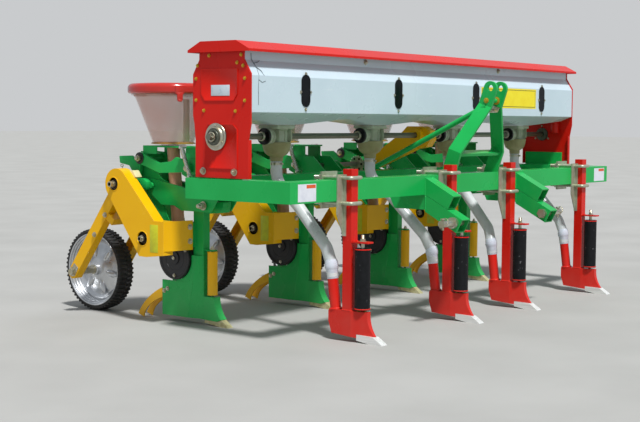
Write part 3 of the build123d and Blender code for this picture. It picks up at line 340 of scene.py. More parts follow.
def loop(mesh, centre, axis, r, wire, steps=28):
    # A wire ring round an axis.
    axis = Vector(axis).normalized()
    away = axis.orthogonal().normalized()
    middle = spot(*centre)
    turn = axis.cross(away).to_track_quat("Z", "Y").to_matrix().to_4x4()
    wires = bmesh.ops.create_circle(mesh, segments=8, radius=wire / 1000,
                                    matrix=Matrix.Translation(middle + away * r / 1000) @ turn)["verts"]
    spun(mesh, wires + list({e for v in wires for e in v.link_edges}), middle, axis, steps)


pin_rings = bmesh.new()
for x in (-linch_x, linch_x):
    rod(pin_rings, (x, pin_y, pin_z - 24), (x, pin_y, pin_z + 18), 4.6, 14, 1.0)
    rod(pin_rings, (x, pin_y, pin_z + 15), (x, pin_y, pin_z + 21), 9.5, 20, 1.5)
    loop(pin_rings, (x, pin_y - 11, pin_z + 9), (1, 0, 0), 13, 1.6)
fit("pin_rings", pin_rings, [zinc], "frame")


# Fertiliser box of folded sheet, in bluish white satin enamel. The sheet is thin, so its sides are not
# quite flat, and one corner has a crease. Small bolts hold the level windows and the rim.
box_face = 188.0
# Satin enamel on thin sheet: waves 280 mm long that bend the shine, a little over a millimetre deep.
box_paint = surface("white_satin_enamel", ("#C9DAE2", "#C0D2DB"), 280, (0.24, 0.36), grain=280, depth=5.0,
                    ease=3.0, Specular_IOR_Level=0.4)
# Fine scuffs, a few centimetres long and faint, lie across the sheet.
box_place = node(box_paint, "ShaderNodeTexCoord").outputs["Object"]
long_way = node(box_paint, "ShaderNodeMapping", {"Vector": box_place, "Scale": (3.0, 14.0, 26.0)}).outputs[0]
scuff = node(box_paint, "ShaderNodeTexNoise", {"Vector": long_way, "Scale": 3.0, "Detail": 7.0}).outputs[0]
scuffed = node(box_paint, "ShaderNodeMapRange", {0: scuff, 1: 0.66, 2: 0.74, 4: 0.3}).outputs[0]
lay_over(box_paint, scuffed, "#E2EAEC")
coat_nodes(box_paint, "fertiliser_box")

crease = bmesh.new()
crease_runs = (
    ((-1152, 221.5, 1022), (-1150, 221, 1001), (-1141, 205, 972), (-1147, 189, 946), (-1150, 187.8, 901),
     (-1149, 187.8, 842)),
    ((-1146, 205, 976), (-1126, 197, 962), (-1119, 188, 944)),
    ((-1148, 188, 930), (-1130, 188, 921), (-1112, 188, 926)),
    ((-1142, 214, 988), (-1122, 216, 992), (-1108, 221, 998)),
)
for run in crease_runs:
    for start, end in zip(run, run[1:]):
        rod(crease, start, end, 1.3, 8)
# The crease is drawn as dark grey, dull rods, uneven in spots 8 mm wide: painted shade in the fold.
painted_crease_shade = surface("painted_crease_shade", ("#5B656A", "#8A969B"), 8, (0.5, 0.7))
fit("box_crease", crease, [painted_crease_shade], "frame")

# Cast acrylic, polished, with a haze of dust in spots 35 mm wide.
window_acrylic = surface("black_window_acrylic", ("#05080C", "#0A0E14"), 35, (0.1, 0.24),
                         Specular_IOR_Level=0.2)
coat_nodes(window_acrylic, "level_windows")
window_pitch, window_z, window_clip = 589, 892, 29
box_bolts = bmesh.new()
for i in range(4):
    x = -5 + (i - 1.5) * window_pitch
    for z in (958, 829):
        bolt(box_bolts, (x, box_face, z), (0, -1, 0), 4.2, 3, 6.5, 2, 2)
    for clip_x in (x - window_clip, x + window_clip):
        slab(box_bolts, (clip_x - 4, box_face - 2, window_z - 6),
             (clip_x + 4, box_face + 0.5, window_z + 6), 0.8)
        bolt(box_bolts, (clip_x, box_face - 1.6, window_z), (0, -1, 0), 3.0, 2, 0)
for x in (-478, 531):
    bolt(box_bolts, (x, 222, 1017), (0, -1, 0), 8, 5, 11, 3)
for x in (-1100, -400, 400, 1100):
    bolt(box_bolts, (x, 430, 1008), (0, 1, 0), 8, 5, 11, 3)
fit("box_bolts", box_bolts, [zinc], "frame")

# Printed vinyl: bright yellow with a thin black border line, faded unevenly over 20 to 40 mm.
yellow_vinyl = surface("yellow_sign_vinyl", ("#F8E51C", "#F2DA12"), 40, (0.32, 0.46))
black_ink = surface("black_border_ink", ("#1A1A1A", "#2B2A27"), 20, (0.4, 0.5))
sign_left, sign_right, sign_low, sign_high = 335, 824, 851, 941
sign = bmesh.new()
for inset, proud, sunk, index in ((0, 0.4, 0.2, 0), (6, 0.6, 0.1, 1), (8.5, 0.8, 0.1, 0)):
    slab(sign, (sign_left + inset, box_face - proud, sign_low + inset),
         (sign_right - inset, box_face + sunk, sign_high - inset), index=index)
fit("box_sign", sign, [yellow_vinyl, black_ink], "frame")


# End plates of pressed sheet, sprayed red and bolted to the box and to the frame's tabs. Each has two
# pressed panels with cut corners. On the near plate's upper panel is a pale blank label.
red = enamel("red_gloss_enamel", ("#CB170C", "#D41D10"), "#E2463A")
coat_nodes(red, "box_end_near", "box_end_far")
# Brushed foil, a little metallic, in spots 20 mm wide.
label_foil = surface("label_foil", ("#C7D6E2", "#D8E2EA"), 20, (0.25, 0.38), Metallic=0.25)


def pressed_panel(mesh, corners, x, out):
    # A panel's rounded rim, pressed outwards from the sheet, with the field inside it a little lower.
    rim, raised = 9.0, 3.2
    field = mesh.faces.new([mesh.verts.new(spot(x, y, z)) for y, z in corners])
    bmesh.ops.inset_individual(mesh, faces=[field], thickness=rim * 0.35 / 1000, depth=0.0)
    bmesh.ops.translate(mesh, vec=(out * raised / 1000, 0, 0), verts=list(field.verts))
    bmesh.ops.inset_individual(mesh, faces=[field], thickness=rim * 0.3 / 1000, depth=0.0)
    bmesh.ops.inset_individual(mesh, faces=[field], thickness=rim * 0.35 / 1000, depth=0.0)
    bmesh.ops.translate(mesh, vec=(-out * (raised - 0.7) / 1000, 0, 0), verts=list(field.verts))


# Places on the plate are pairs of y and z.
upper_panel = [(423, 969), (247, 969), (247, 881), (265, 856), (405, 856), (423, 881)]
lower_panel = [(406, 756), (388, 774), (268, 774), (248, 756), (248, 616), (406, 616)]
small_bolts = [(384, 1016), (231, 1016), (250, 989), (222, 978), (441, 982), (448, 935), (448, 859),
               (214, 934), (214, 857), (409, 822), (258, 820)]
foot_bolts = [(262, 606), (412, 606)]
for side, name in ((-1, "near"), (1, "far")):
    face_x = side * 1191.0
    pressings = bmesh.new()
    for panel in (upper_panel, lower_panel):
        pressed_panel(pressings, panel, face_x, side)
    fit(f"plate_pressings_{name}", pressings, [red], "frame", 60)
    fixings = bmesh.new()
    for y, z in small_bolts:
        bolt(fixings, (face_x, y, z), (side, 0, 0), 5.0, 3.5, 6.5, 2.0, 2.6, index=1)
    for y, z in foot_bolts:
        rod(fixings, (face_x, y, z), (face_x + side * 3, y, z), 13.5, 28, 0.8)
        bolt(fixings, (face_x + side * 2.5, y, z), (side, 0, 0), 9.5, 6, 0, 4, 5)
    fit(f"plate_bolts_{name}", fixings, [zinc, gold_zinc], "frame")
plate_label = bmesh.new()
slab(plate_label, (-1192.6, 285, 874), (-1191.2, 374, 912), 0.3)
fit("plate_label", plate_label, [label_foil], "frame")
sleeve = bmesh.new()
rod(sleeve, (1172, 270, 735), (1172, 272, 800), 20, 32, 2.0)
slab(sleeve, (1168, 256, 740), (1187, 286, 795), 2.0)
fit("plate_sleeve", sleeve, [red], "frame")


# Flanged bearings of the feed shaft: pressed zinc-plated flanges with a raised hub and three rivets on
# the outer faces, a cast plate inside, and a cross pin through the shaft's ends.
def turned(mesh, centre, axis, profile, steps=48, index=0):
    # A part turned on a lathe: its profile is pairs of distance along the axis and radius.
    turn = Vector(axis).to_track_quat("Z", "Y").to_matrix()
    ring = [mesh.verts.new(spot(*centre) + turn @ Vector((r / 1000, 0, t / 1000))) for t, r in profile]
    edges = [mesh.edges.new(pair) for pair in zip(ring, ring[1:])]
    known = set(mesh.faces)
    spun(mesh, ring + edges, spot(*centre), turn @ Vector((0, 0, 1)), steps)
    for face in set(mesh.faces) - known:
        face.material_index = index


# Cast iron with old grease on it: dark and dull, in spots 18 mm wide.
cast_iron = surface("cast_bearing_iron", ("#4C5148", "#6A6C60"), 18, (0.4, 0.6), grain=3, depth=0.4,
                    Metallic=0.6)
coat_nodes(cast_iron, "shaft_bearings")
feed_y, feed_z = 348.0, 729.0
rivet_circle = 41
flange_profile = [
    (-1, 14), (-1, 47), (0.8, 49), (2.2, 48), (3.4, 44), (2.6, 41), (3, 37), (7, 35), (9, 32), (9.6, 29),
    (8.6, 26), (14, 24.5), (15, 22), (13.5, 19.5), (9, 18.5), (9, 14), (-1, 14),
]
inner_ring = [(8, 14), (10.2, 27), (14.6, 24), (15.6, 20), (14.6, 18.4), (14, 14), (8, 14)]
shaft_collar = [(0, 13), (0, 17), (4, 17.5), (5, 16.5), (5, 13), (0, 13)]
flanges = bmesh.new()
cross_pins = bmesh.new()
for side in (-1, 1):
    turned(flanges, (side * 1196, feed_y, feed_z), (side, 0, 0), flange_profile)
    for turn in (90, 210, 330):
        y = feed_y + rivet_circle * math.cos(math.radians(turn))
        z = feed_z + rivet_circle * math.sin(math.radians(turn))
        rod(flanges, (side * 1198, y, z), (side * 1202, y, z), 4.0, 12, 1.2)
        rod(flanges, (side * 1186.2, y, z), (side * 1180, y, z), 5.0, 6, 0.8)
    turned(flanges, (side * 1196, feed_y, feed_z), (side, 0, 0), inner_ring, 44, 1)
    rod(cross_pins, (side * 1225, feed_y - 21, feed_z), (side * 1225, feed_y + 21, feed_z), 4.2, 14, 0.8)
    turned(cross_pins, (side * 1215, feed_y, feed_z), (side, 0, 0), shaft_collar, 32)
fit("bearing_flanges", flanges, [zinc, cast_iron], "frame")
fit("feed_shaft_pins", cross_pins, [zinc], "feed_shaft")


# Box lid: one folded sheet in glossy red enamel, with its edges turned down over the box. Zinc-plated
# hinges join its back edge to the box.
coat_nodes(red, "box_lid")
coat_nodes(zinc, "lid_hinges")


# Feed shaft: cold-drawn hexagonal steel, oiled, with a dull greenish grey shine and fine draw lines
# along it, 1 mm apart. It turns in the end plates' bearings and drives the feeders.
drawn_steel = surface("cold_drawn_steel", ("#737869", "#8C8F80"), 500, (0.3, 0.45), grain=500, depth=0.2,
                      stretch=(1.0, 500.0, 500.0), Metallic=0.85)
coat_nodes(drawn_steel, "feed_shaft")


# Feeders: moulded cream nylon housings round the shaft, each with a ribbed black bearing on its left and
# a yellowish bowl that gathers the fertiliser into its hose. They are bolted under the box.
outlet_pitch = 592
outlet_x = [25 + (i - 1.5) * outlet_pitch for i in range(4)]
# Moulded nylon: satin, slightly milky, greyed in patches 55 mm wide. The bowls are yellower.
cream = surface("cream_nylon", ("#B4BEA8", "#9DA78D"), 55, (0.38, 0.5), grain=3, depth=0.2,
                Subsurface_Weight=0.06, Subsurface_Radius=(0.004, 0.004, 0.003))
bowl_nylon = surface("yellowed_nylon", ("#9C9A70", "#8B8658"), 40, (0.42, 0.55), grain=3, depth=0.2)
black_nylon = surface("black_nylon", ("#121213", "#242428"), 45, (0.3, 0.5), grain=2.6, depth=0.25)
neck_profile = [(759, 0), (759, 44), (754, 44), (750, 40), (712, 40), (708, 44), (704, 44), (704, 0)]
drum_profile = [
    (-66, 12.5), (-66, 28), (-62, 30), (-52, 30), (-50, 34), (-44, 34), (-44, 30), (44, 30), (44, 34),
    (50, 34), (52, 29), (58, 28), (58, 12.5), (-66, 12.5),
]
bowl_profile = [
    (708, 0), (708, 52), (706, 54.5), (701, 54.5), (699, 53), (690, 52), (679, 49.5), (669, 45), (661, 38),
    (656, 30), (653, 25), (636.5, 24.5), (636.5, 22.4), (650, 21), (650, 0),
]
hub_profile = [
    (-2, 12.5), (-2, 30), (4, 31.5), (9, 31), (10, 29), (6, 27.5), (5, 24), (9, 22.5), (9, 20), (5, 19),
    (5, 17), (11, 15.5), (11, 12.5), (-2, 12.5),
]
collar_profile = [(-1, 13.3), (-1, 18), (6, 18), (8, 16), (8, 13.3), (-1, 13.3)]
bowl_ribs = 9
housings = bmesh.new()
hubs = bmesh.new()
collars = bmesh.new()
for x in outlet_x:
    slab(housings, (x - 50, feed_y - 48, 757), (x + 50, feed_y + 48, 771), 2)
    turned(housings, (x, feed_y, 0), (0, 0, 1), neck_profile, 44)
    for rib_x in (x - 34, x, x + 34):
        slab(housings, (rib_x - 1.5, feed_y - 44, 712), (rib_x + 1.5, feed_y + 44, 757), 0.6)
    turned(housings, (x, feed_y, feed_z), (1, 0, 0), drum_profile, 40)
    turned(housings, (x, feed_y, 0), (0, 0, 1), bowl_profile, 48, index=1)
    for i in range(bowl_ribs):
        across, ahead = math.cos(i * math.tau / bowl_ribs), math.sin(i * math.tau / bowl_ribs)
        rod(housings, (x + 51 * across, feed_y + 51 * ahead, 698),
            (x + 42 * across, feed_y + 42 * ahead, 665), 2.0, 8, index=1)
    turned(hubs, (x - 66, feed_y, feed_z), (-1, 0, 0), hub_profile, 44)
    turned(collars, (x - 84, feed_y, feed_z), (-1, 0, 0), collar_profile, 32)
housing_piece = fit("feeder_housings", housings, [cream, bowl_nylon], "frame")
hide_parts("feeders")
fit("feeder_hubs", hubs, [black_nylon], "frame")
fit("feeder_collars", collars, [zinc], "feed_shaft")


# Fertiliser shanks: square bar with a folded shoe and a delivery pipe welded on, sprayed red. The
# chisel points under the shoes are bolted on and ground bright.
coat_nodes(red, "fertiliser_shanks")
shank_x = (-886.0, -231.0, 231.0, 886.0)
# Ground steel: bright, with grinding marks along the point, 4 mm apart.
ground_steel = surface("ground_steel", ("#DADAD6", "#F4F4F2"), 100, (0.36, 0.5), grain=100, depth=0.6,
                       stretch=(25.0, 1.0, 25.0), Metallic=0.35)
coat_nodes(ground_steel, "shank_points")
shoe_top, tab_z = 112.5, 355
pipe_bead = [(-2, 20), (-2, 25), (1, 24.5), (4, 21.5), (4, 20), (-2, 20)]
shank_welds = bmesh.new()
for x in shank_x:
    for side in (-1, 1):
        weld(shank_welds, (x + side * 20, -38, shoe_top), (x + side * 20, 0, shoe_top))
        weld(shank_welds, (x + side * 17, -38.8, tab_z + 1), (x + side * 17, -38.8, tab_z + 7), 2.6, 3)
    weld(shank_welds, (x - 19, 1, shoe_top), (x + 19, 1, shoe_top))
    weld(shank_welds, (x - 19, -39, shoe_top), (x + 19, -39, shoe_top), 2.8)
    weld(shank_welds, (x - 16, -38.5, tab_z), (x + 16, -38.5, tab_z), 2.6)
    turned(shank_welds, (x, 43, 112), (0, 0.135, 0.99), pipe_bead, 32)
fit("shank_welds", shank_welds, [red], "frame")


# Shank clamps: pale zinc U-bolts with long threads round each shank, and a galvanised wedge plate that
# seats it on the beam.
def thread(length, pitch, root, crest, core):
    # The profile of a threaded end, with its ridges a little coarser than real so that they show.
    ridges = [(pitch * i, crest if i % 2 else root) for i in range(1, math.ceil(length / pitch))]
    return [(0, core)] + ridges + [(length, 0)]


# Hot-dip galvanising: a flat grey-green metal, clouded in spangles 22 mm wide.
galvanised = surface("hot_dip_galvanising", ("#BCC1AE", "#A9AC93"), 22, (0.36, 0.5), grain=3, depth=0.2,
                     ease=1.0, Metallic=0.6)
coat_nodes(galvanised, "shank_clamps")
leg_out, washer_y = 30.3, 83.6
clamp_threads = bmesh.new()
for x in shank_x:
    for leg_x in (x - leg_out, x + leg_out):
        for z in (587, 496):
            turned(clamp_threads, (leg_x, 95, z), (0, 1, 0), thread(24, 1.2, 6.6, 7.6, 6.0), 14)
            rod(clamp_threads, (leg_x, washer_y, z), (leg_x, washer_y + 2.4, z), 15.5, 20, 0.5)
fit("clamp_threads", clamp_threads, [zinc], "frame")


# Rollers of the shanks: black rubber sleeves on plated bolts, with red pressed discs at both ends and
# a lock nut on top.
# Moulded rubber: dull black, scuffed bare in pale specks 5 to 15 mm wide.
sleeve_rubber = surface("black_sleeve_rubber", ("#0D0E10", "#16171A"), 14, (0.45, 0.62), grain=3.5, depth=0.4,
                        Specular_IOR_Level=0.2)
sleeve_place = node(sleeve_rubber, "ShaderNodeTexCoord").outputs["Object"]
specks = node(sleeve_rubber, "ShaderNodeTexNoise", {"Vector": sleeve_place, "Scale": 70.0, "Detail": 8.0})
bare = node(sleeve_rubber, "ShaderNodeMapRange", {0: specks.outputs[0], 1: 0.66, 2: 0.72, 4: 0.5}).outputs[0]
lay_over(sleeve_rubber, bare, "#8C8C8E")
sleeve_y = -76
disc_profile = [(0, 7), (0, 28.6), (1.2, 29.8), (3, 29.8), (4.2, 28.6), (4.2, 7), (0, 7)]
roller_nuts = bmesh.new()
for number, x in enumerate(shank_x, 1):
    coat_nodes(sleeve_rubber, f"shank_roller_{number}")
    discs = bmesh.new()
    for low in (119.6, 332.2):
        turned(discs, (x, sleeve_y, low), (0, 0, 1), disc_profile, 40)
    fit(f"shank_roller_discs_{number}", discs, [red], f"shank_roller_{number}")
    rod(roller_nuts, (x, sleeve_y, 337.5), (x, sleeve_y, 355.5), 6.6, 20)
    bolt(roller_nuts, (x, sleeve_y, 362), (0, 0, 1), 9.5, 8, 12.5)
    turned(roller_nuts, (x, sleeve_y, 372), (0, 0, 1), thread(14.2, 1.1, 6.1, 6.9, 6.0), 16)
fit("roller_nuts", roller_nuts, [zinc], "frame")


# Delivery hoses: milky clear PVC tube pushed over the feeders' spouts, where a band holds it, and onto
# short whiter cuffs in the shanks' pipes.
# Soft PVC: smooth and cloudy, with dust inside that greys the wall in patches 70 mm long.
milky_pvc = surface("milky_pvc", ("#DDE1E0", "#C5CBCC"), 70, (0.16, 0.3), Transmission_Weight=0.12, IOR=1.53)
white_pvc = surface("white_pvc_cuff", ("#E3E8F2", "#D2D9E6"), 40, (0.2, 0.34), Transmission_Weight=0.15,
                    IOR=1.53)
coat_nodes(milky_pvc, "hoses")
cuff_profile = [(0, 20.3), (3, 21.5), (32, 22.0), (36, 23.4), (40, 25.0), (48, 25.4), (56, 24.6), (64, 23.0),
                (70, 21.0), (0, 20.3)]
band_profile = [(622, 22.1), (622, 23.6), (631, 23.6), (631, 22.1), (622, 22.1)]
hose_cuffs = bmesh.new()
hose_bands = bmesh.new()
for x in shank_x:
    foot, head = Vector((x, 40, 90)), Vector((x, 58, 224))
    along = (head - foot).normalized()
    turned(hose_cuffs, head - along * 5, along, cuff_profile, 36)
for x in outlet_x:
    turned(hose_bands, (x, feed_y, 0), (0, 0, 1), band_profile, 36)
    bolt(hose_bands, (x, feed_y - 24, 626.5), (0, -1, 0), 4, 6, 0)
fit("hose_cuffs", hose_cuffs, [white_pvc], "frame")
fit("hose_bands", hose_bands, [zinc], "frame")


# Unit links, frames and hopper tables: laser-cut plates and bent brackets, green enamel. Big nuts with
# washers hold their pivots, on black bushes where the upper links end.
coat_nodes(green, "unit_links", "unit_frames", "hopper_tables")
row_x = (-960.0, -320.0, 335.0, 935.0)
low_pivot, high_pivot, rear_pivot = (570, 465), (652, 604), (908, 637)
bush_profile = [(0, 11), (0, 22), (3, 23), (5, 20), (5, 11), (0, 11)]
rest_outline = [(604, 477), (518, 478), (526, 437), (593, 431)]
stop_outline = [(932, 557), (880, 560), (858, 547), (864, 513), (928, 511)]
link_pivots = bmesh.new()
pivot_bushes = bmesh.new()
unit_stops = bmesh.new()
for x in row_x:
    for pivot, half, stub in ((low_pivot, 67, 20), (high_pivot, 67, 5), (rear_pivot, 75, 8)):
        for side in (-1, 1):
            bolt(link_pivots, (x + side * half, *pivot), (side, 0, 0), 13, 9, 17, stub, 8)
    for side in (-1, 1):
        bolt(link_pivots, (x + side * 78, *low_pivot), (side, 0, 0), 12, 7, 0)
        turned(pivot_bushes, (x + side * 72.5, *rear_pivot), (side, 0, 0), bush_profile, 32)
    bolt(link_pivots, (x + 61, 856, 532), (1, 0, 0), 13, 9, 17, 5, 8)
    sheet_cut(unit_stops, [(x - 10, y, z) for y, z in rest_outline], (44, 0, 0), 2.0)
    sheet_cut(unit_stops, [(x - 82, y, z) for y, z in stop_outline], (30, 0, 0), 9.0)
fit("link_pivots", link_pivots, [zinc], "frame")
fit("pivot_bushes", pivot_bushes, [black_nylon], "frame")
fit("unit_stops", unit_stops, [green], "frame")


# Down-pressure springs: close coils of bright steel wire on rods, hooked over a pin in the hopper table
# above and one in the link's bracket below, on both sides of each unit.
spring_x, coil_pitch = 86, 2.9
# Polished spring wire: a hard bright shine.
bright_wire = surface("bright_spring_wire", ("#DADBD8", "#BFC0BB"), 12, (0.22, 0.36), Metallic=0.85)
springs = bmesh.new()
for x in row_x:
    for side in (-1, 1):
        start, end = Vector((x + side * spring_x, 665, 684)), Vector((x + side * spring_x, 621, 576))
        length = (end - start).length
        coils = [(coil_pitch * i, 9.8 if i % 2 else 7.4) for i in range(1, int(length / coil_pitch))]
        turned(springs, start, (end - start).normalized(),
               [(0, 0), (0, 6.5)] + coils + [(length, 6.5), (length, 0)], 18)
        for place in (start, end):
            rod(springs, place - Vector((side * 26, 0, 0)), place + Vector((side * 8, 0, 0)), 4.5, 14, 0.8)
            bolt(springs, place + Vector((side * 5, 0, 0)), (side, 0, 0), 6, 4, 0)
fit("unit_springs", springs, [bright_wire], "frame")


# Hooks of the units: a bent green bar behind each link, a cream nylon block beside the chain case and
# a short chain that lifts the unit in transport.
hook_outline = [(1034, 643), (1030, 615), (976, 606), (946, 566), (914, 560), (912, 612), (966, 646)]
block_outline = [(925, 588), (892, 591), (873, 565), (893, 559)]
# Moulded nylon: satin cream, darker in spots 25 mm wide.
block_nylon = surface("cream_block_nylon", ("#E9E0B0", "#D8CD98"), 25, (0.4, 0.52), grain=3, depth=0.2)
hooks = bmesh.new()
blocks = bmesh.new()
chains = bmesh.new()
for x in row_x:
    sheet_cut(hooks, [(x - 66, y, z) for y, z in hook_outline], (16, 0, 0), 3.0)
    rod(hooks, (x - 62, 935, 612), (x + 60, 935, 612), 9, 16)
    sheet_cut(blocks, [(x - 126, y, z) for y, z in block_outline], (34, 0, 0), 2.0)
    for i in range(8):
        turn = math.radians(45 + 90 * (i % 2))
        loop(chains, (x - 72, 1010 - i * 3, 606 - i * 8.5), (math.cos(turn), math.sin(turn), 0), 5.2, 1.5, 14)
fit("unit_hooks", hooks, [green], "frame")
fit("unit_blocks", blocks, [block_nylon], "frame")
fit("lift_chains", chains, [zinc], "frame")


# Seed hoppers: blown tubs of clear, faintly red plastic, each on a flange bolted to its table. Pipes
# inside and below lead the seed down through the table to the meter.
tub_y = 795
# Clear blown plastic: a smooth skin with a thin red tint, hazy in patches 140 mm wide.
tub_plastic = surface("clear_tub_plastic", ("#D9937B", "#E5BFB0"), 140, (0.08, 0.18), Alpha=0.3, IOR=1.6)
coat_nodes(tub_plastic, "seed_hoppers")
# Thicker plastic of the flange: amber where light is caught in it.
amber_rim = surface("amber_tub_flange", ("#DDB060", "#CC9A4C"), 60, (0.15, 0.3), Transmission_Weight=0.5,
                    IOR=1.42)
# Extruded tube, matt and plain, a little uneven over 50 mm.
beige_tube = surface("beige_seed_tube", ("#EBAF8E", "#DB9C7A"), 50, (0.3, 0.45))
grey_tube = surface("grey_seed_tube", ("#D3D6CE", "#C2C6BE"), 50, (0.3, 0.42))
tub_lip = [(880, 150.6), (882, 163), (887, 163), (887, 153.2), (880, 150.6)]
tub_flange = [(693.5, 78.6), (694.5, 86), (699, 86), (701, 80.6), (693.5, 78.6)]
tub_rims = bmesh.new()
pipes = bmesh.new()
for x in row_x:
    turned(tub_rims, (x, tub_y, 0), (0, 0, 1), tub_lip, 72)
    turned(tub_rims, (x, tub_y, 0), (0, 0, 1), tub_flange, 64, index=1)
    rod(pipes, (x + 6, 730, 696), (x + 6, 730, 868), 12, 28, 1.0, index=1)
    rod(pipes, (x, 764, 336), (x, tub_y + 0.1, 684), 24.9, 40, 0.6)
fit("tub_rims", tub_rims, [tub_plastic, amber_rim], "frame")
fit("seed_pipes", pipes, [beige_tube, grey_tube], "frame")


# Hopper lids: moulded in glossy red plastic, a little see-through, with a latch tab in front and a
# hinge behind. The tab is at the left of the front, 127 degrees round from the right side.
# Its colour drifts over 90 mm, under a clear moulded skin.
lid_plastic = surface("red_lid_plastic", ("#CE2A1C", "#BE2015"), 90, (0.12, 0.24), ease=2.0,
                      Transmission_Weight=0.12, Coat_Weight=0.5, Coat_Roughness=0.08)
latch_turn, lid_r = math.radians(-127), 173
out = Vector((math.cos(latch_turn), math.sin(latch_turn), 0))
along = Vector((-out.y, out.x, 0))
lid_ring = [(926, 120), (928.6, 122), (928.6, 126), (926, 128), (926, 120)]
for number, x in enumerate(row_x, 1):
    coat_nodes(lid_plastic, f"hopper_lid_{number}")
    trim = bmesh.new()
    for half, low, high, thick in ((17, 884, 916, 7), (11, 860, 890, 9), (7, 856, 864, 13)):
        corners = [Vector((x, tub_y, z)) + out * lid_r + along * a
                   for a, z in ((-half, low), (half, low), (half, high), (-half, high))]
        sheet_cut(trim, corners, out * thick, 2.0)
    turned(trim, (x, tub_y, 0), (0, 0, 1), lid_ring, 64)
    fit(f"hopper_lid_trim_{number}", trim, [lid_plastic], f"hopper_lid_{number}")


# Seed meters: moulded black nylon drums with a raised rim, a hub and a ring on both faces. Cap screws
# clamp them together and to the opener's back.
coat_nodes(black_nylon, "seed_meters")
meter_y, meter_z = 752.0, 252.0
meter_rim = [(-2, 70), (0.5, 82), (3, 81), (3.5, 76), (1, 73), (1, 70), (-2, 70)]
meter_hub = [(-1, 0), (-1, 26), (4, 25), (4, 10), (6, 9), (6, 0)]
meter_ring = [(-1, 46), (0.8, 47), (0.8, 50), (-1, 51), (-1, 46)]
meter_trim = bmesh.new()
meter_screws = bmesh.new()
for x in row_x:
    for side in (-1, 1):
        for profile, steps in ((meter_rim, 56), (meter_hub, 36), (meter_ring, 48)):
            turned(meter_trim, (x + side * 37.7, meter_y, meter_z), (side, 0, 0), profile, steps)
    for out_x, y, z in ((38.6, 0, -68), (38.6, -60, 34), (38.6, 60, 34), (43, 0, 0)):
        bolt(meter_screws, (x - out_x, meter_y + y, meter_z + z), (-1, 0, 0), 5, 3.5, 7)
fit("meter_trim", meter_trim, [black_nylon], "frame")
fit("meter_screws", meter_screws, [zinc], "frame")


# Openers: a square shank with a boot of folded plate welded on, green enamel. The points are cast and
# bolted under the boot. Cheek plates close the boot round the meter.
coat_nodes(green, "openers")
# Passivated casting: the colour of pale brass, dulled by soil in spots 16 mm wide.
passivated = surface("passivated_casting", ("#D8D2A6", "#B9AE7C"), 16, (0.4, 0.55), grain=3, depth=0.3,
                     Metallic=0.45)
coat_nodes(passivated, "opener_points")
bar_half, boot_half, cheek_r = 18.2, 29.6, 85.2
turns = [math.radians(turn) for turn in range(182, 268, 8)]
cheek_arc = [(meter_y + cheek_r * math.cos(turn), meter_z + cheek_r * math.sin(turn)) for turn in turns]
cheek = [(664, 161), (664, 249)] + cheek_arc + [(meter_y, 161)]
opener_welds = bmesh.new()
gussets = bmesh.new()
for x in row_x:
    for side in (-1, 1):
        bar_x, fold_x = x + side * bar_half, x + side * (boot_half - 0.2)
        weld(opener_welds, (bar_x, 614, 264), (bar_x, 614, 116), 2.6)
        weld(opener_welds, (bar_x, 663, 213), (x + side * 30.2, 681, 166), 2.2)
        weld(opener_welds, (bar_x, 622, 465), (bar_x, 662, 465), 2.8)
        rod(opener_welds, (fold_x, 687, 25), (fold_x, 660.5, 166), 1.5, 10)
    sheet_cut(gussets, [(x - boot_half, y, z) for y, z in cheek], (2 * boot_half, 0, 0))
fit("opener_welds", opener_welds, [green], "frame")
fit("opener_gussets", gussets, [green], "frame")


# Opener rollers: steel tubes in yellow enamel with turned-over ends, which keep trash off the shank.
# Each turns on an upright bolt held by a nut on top.
yellow = enamel("yellow_enamel", ("#F0B204", "#F5BD0C"), "#FFD95A")
roller_y = 584
end_profile = [(0, 6), (0, 18.5), (1, 20.4), (3.4, 20.4), (4.4, 19.4), (4.4, 6), (0, 6)]
opener_nuts = bmesh.new()
for number, x in enumerate(row_x, 1):
    coat_nodes(yellow, f"opener_roller_{number}")
    roller_ends = bmesh.new()
    for low in (118.2, 281.4):
        turned(roller_ends, (x, roller_y, low), (0, 0, 1), end_profile, 36)
    fit(f"opener_roller_ends_{number}", roller_ends, [yellow], f"opener_roller_{number}")
    bolt(opener_nuts, (x, roller_y, 292.6), (0, 0, 1), 8, 6, 10.5, 6, 5)
fit("opener_nuts", opener_nuts, [zinc], "frame")


# Coverers: bent spring-steel bars, in yellow enamel, that draw the soil back over the seed.
# Each is held by two bolts through the boot's side.
coat_nodes(yellow, "coverers")
coverer_bolts = bmesh.new()
for x in row_x:
    for side in (-1, 1):
        for y, z in ((797, 128), (815, 118)):
            bolt(coverer_bolts, (x + side * 30, y, z), (side, 0, 0), 6.5, 4.5, 9)
fit("coverer_bolts", coverer_bolts, [zinc], "frame")


# Chain cases: folded sheet in yellow enamel over the unit's drive chain. Shaft ends show in the two
# round holes, whose edge is rolled, and a blank yellow-green sticker is on the side.
coat_nodes(yellow, "chain_cases")
coat_nodes(zinc, "unit_shafts")
# Old chain grease with soot: nearly black, in spots 16 mm wide. Where it fills the case's holes and the
# cross sprocket's holes, the black is painted shade.
grease_and_painted_shade = surface("grease_and_painted_shade", ("#1B1612", "#34281F"), 16, (0.3, 0.5), grain=4, depth=0.4,
                        Metallic=0.5)
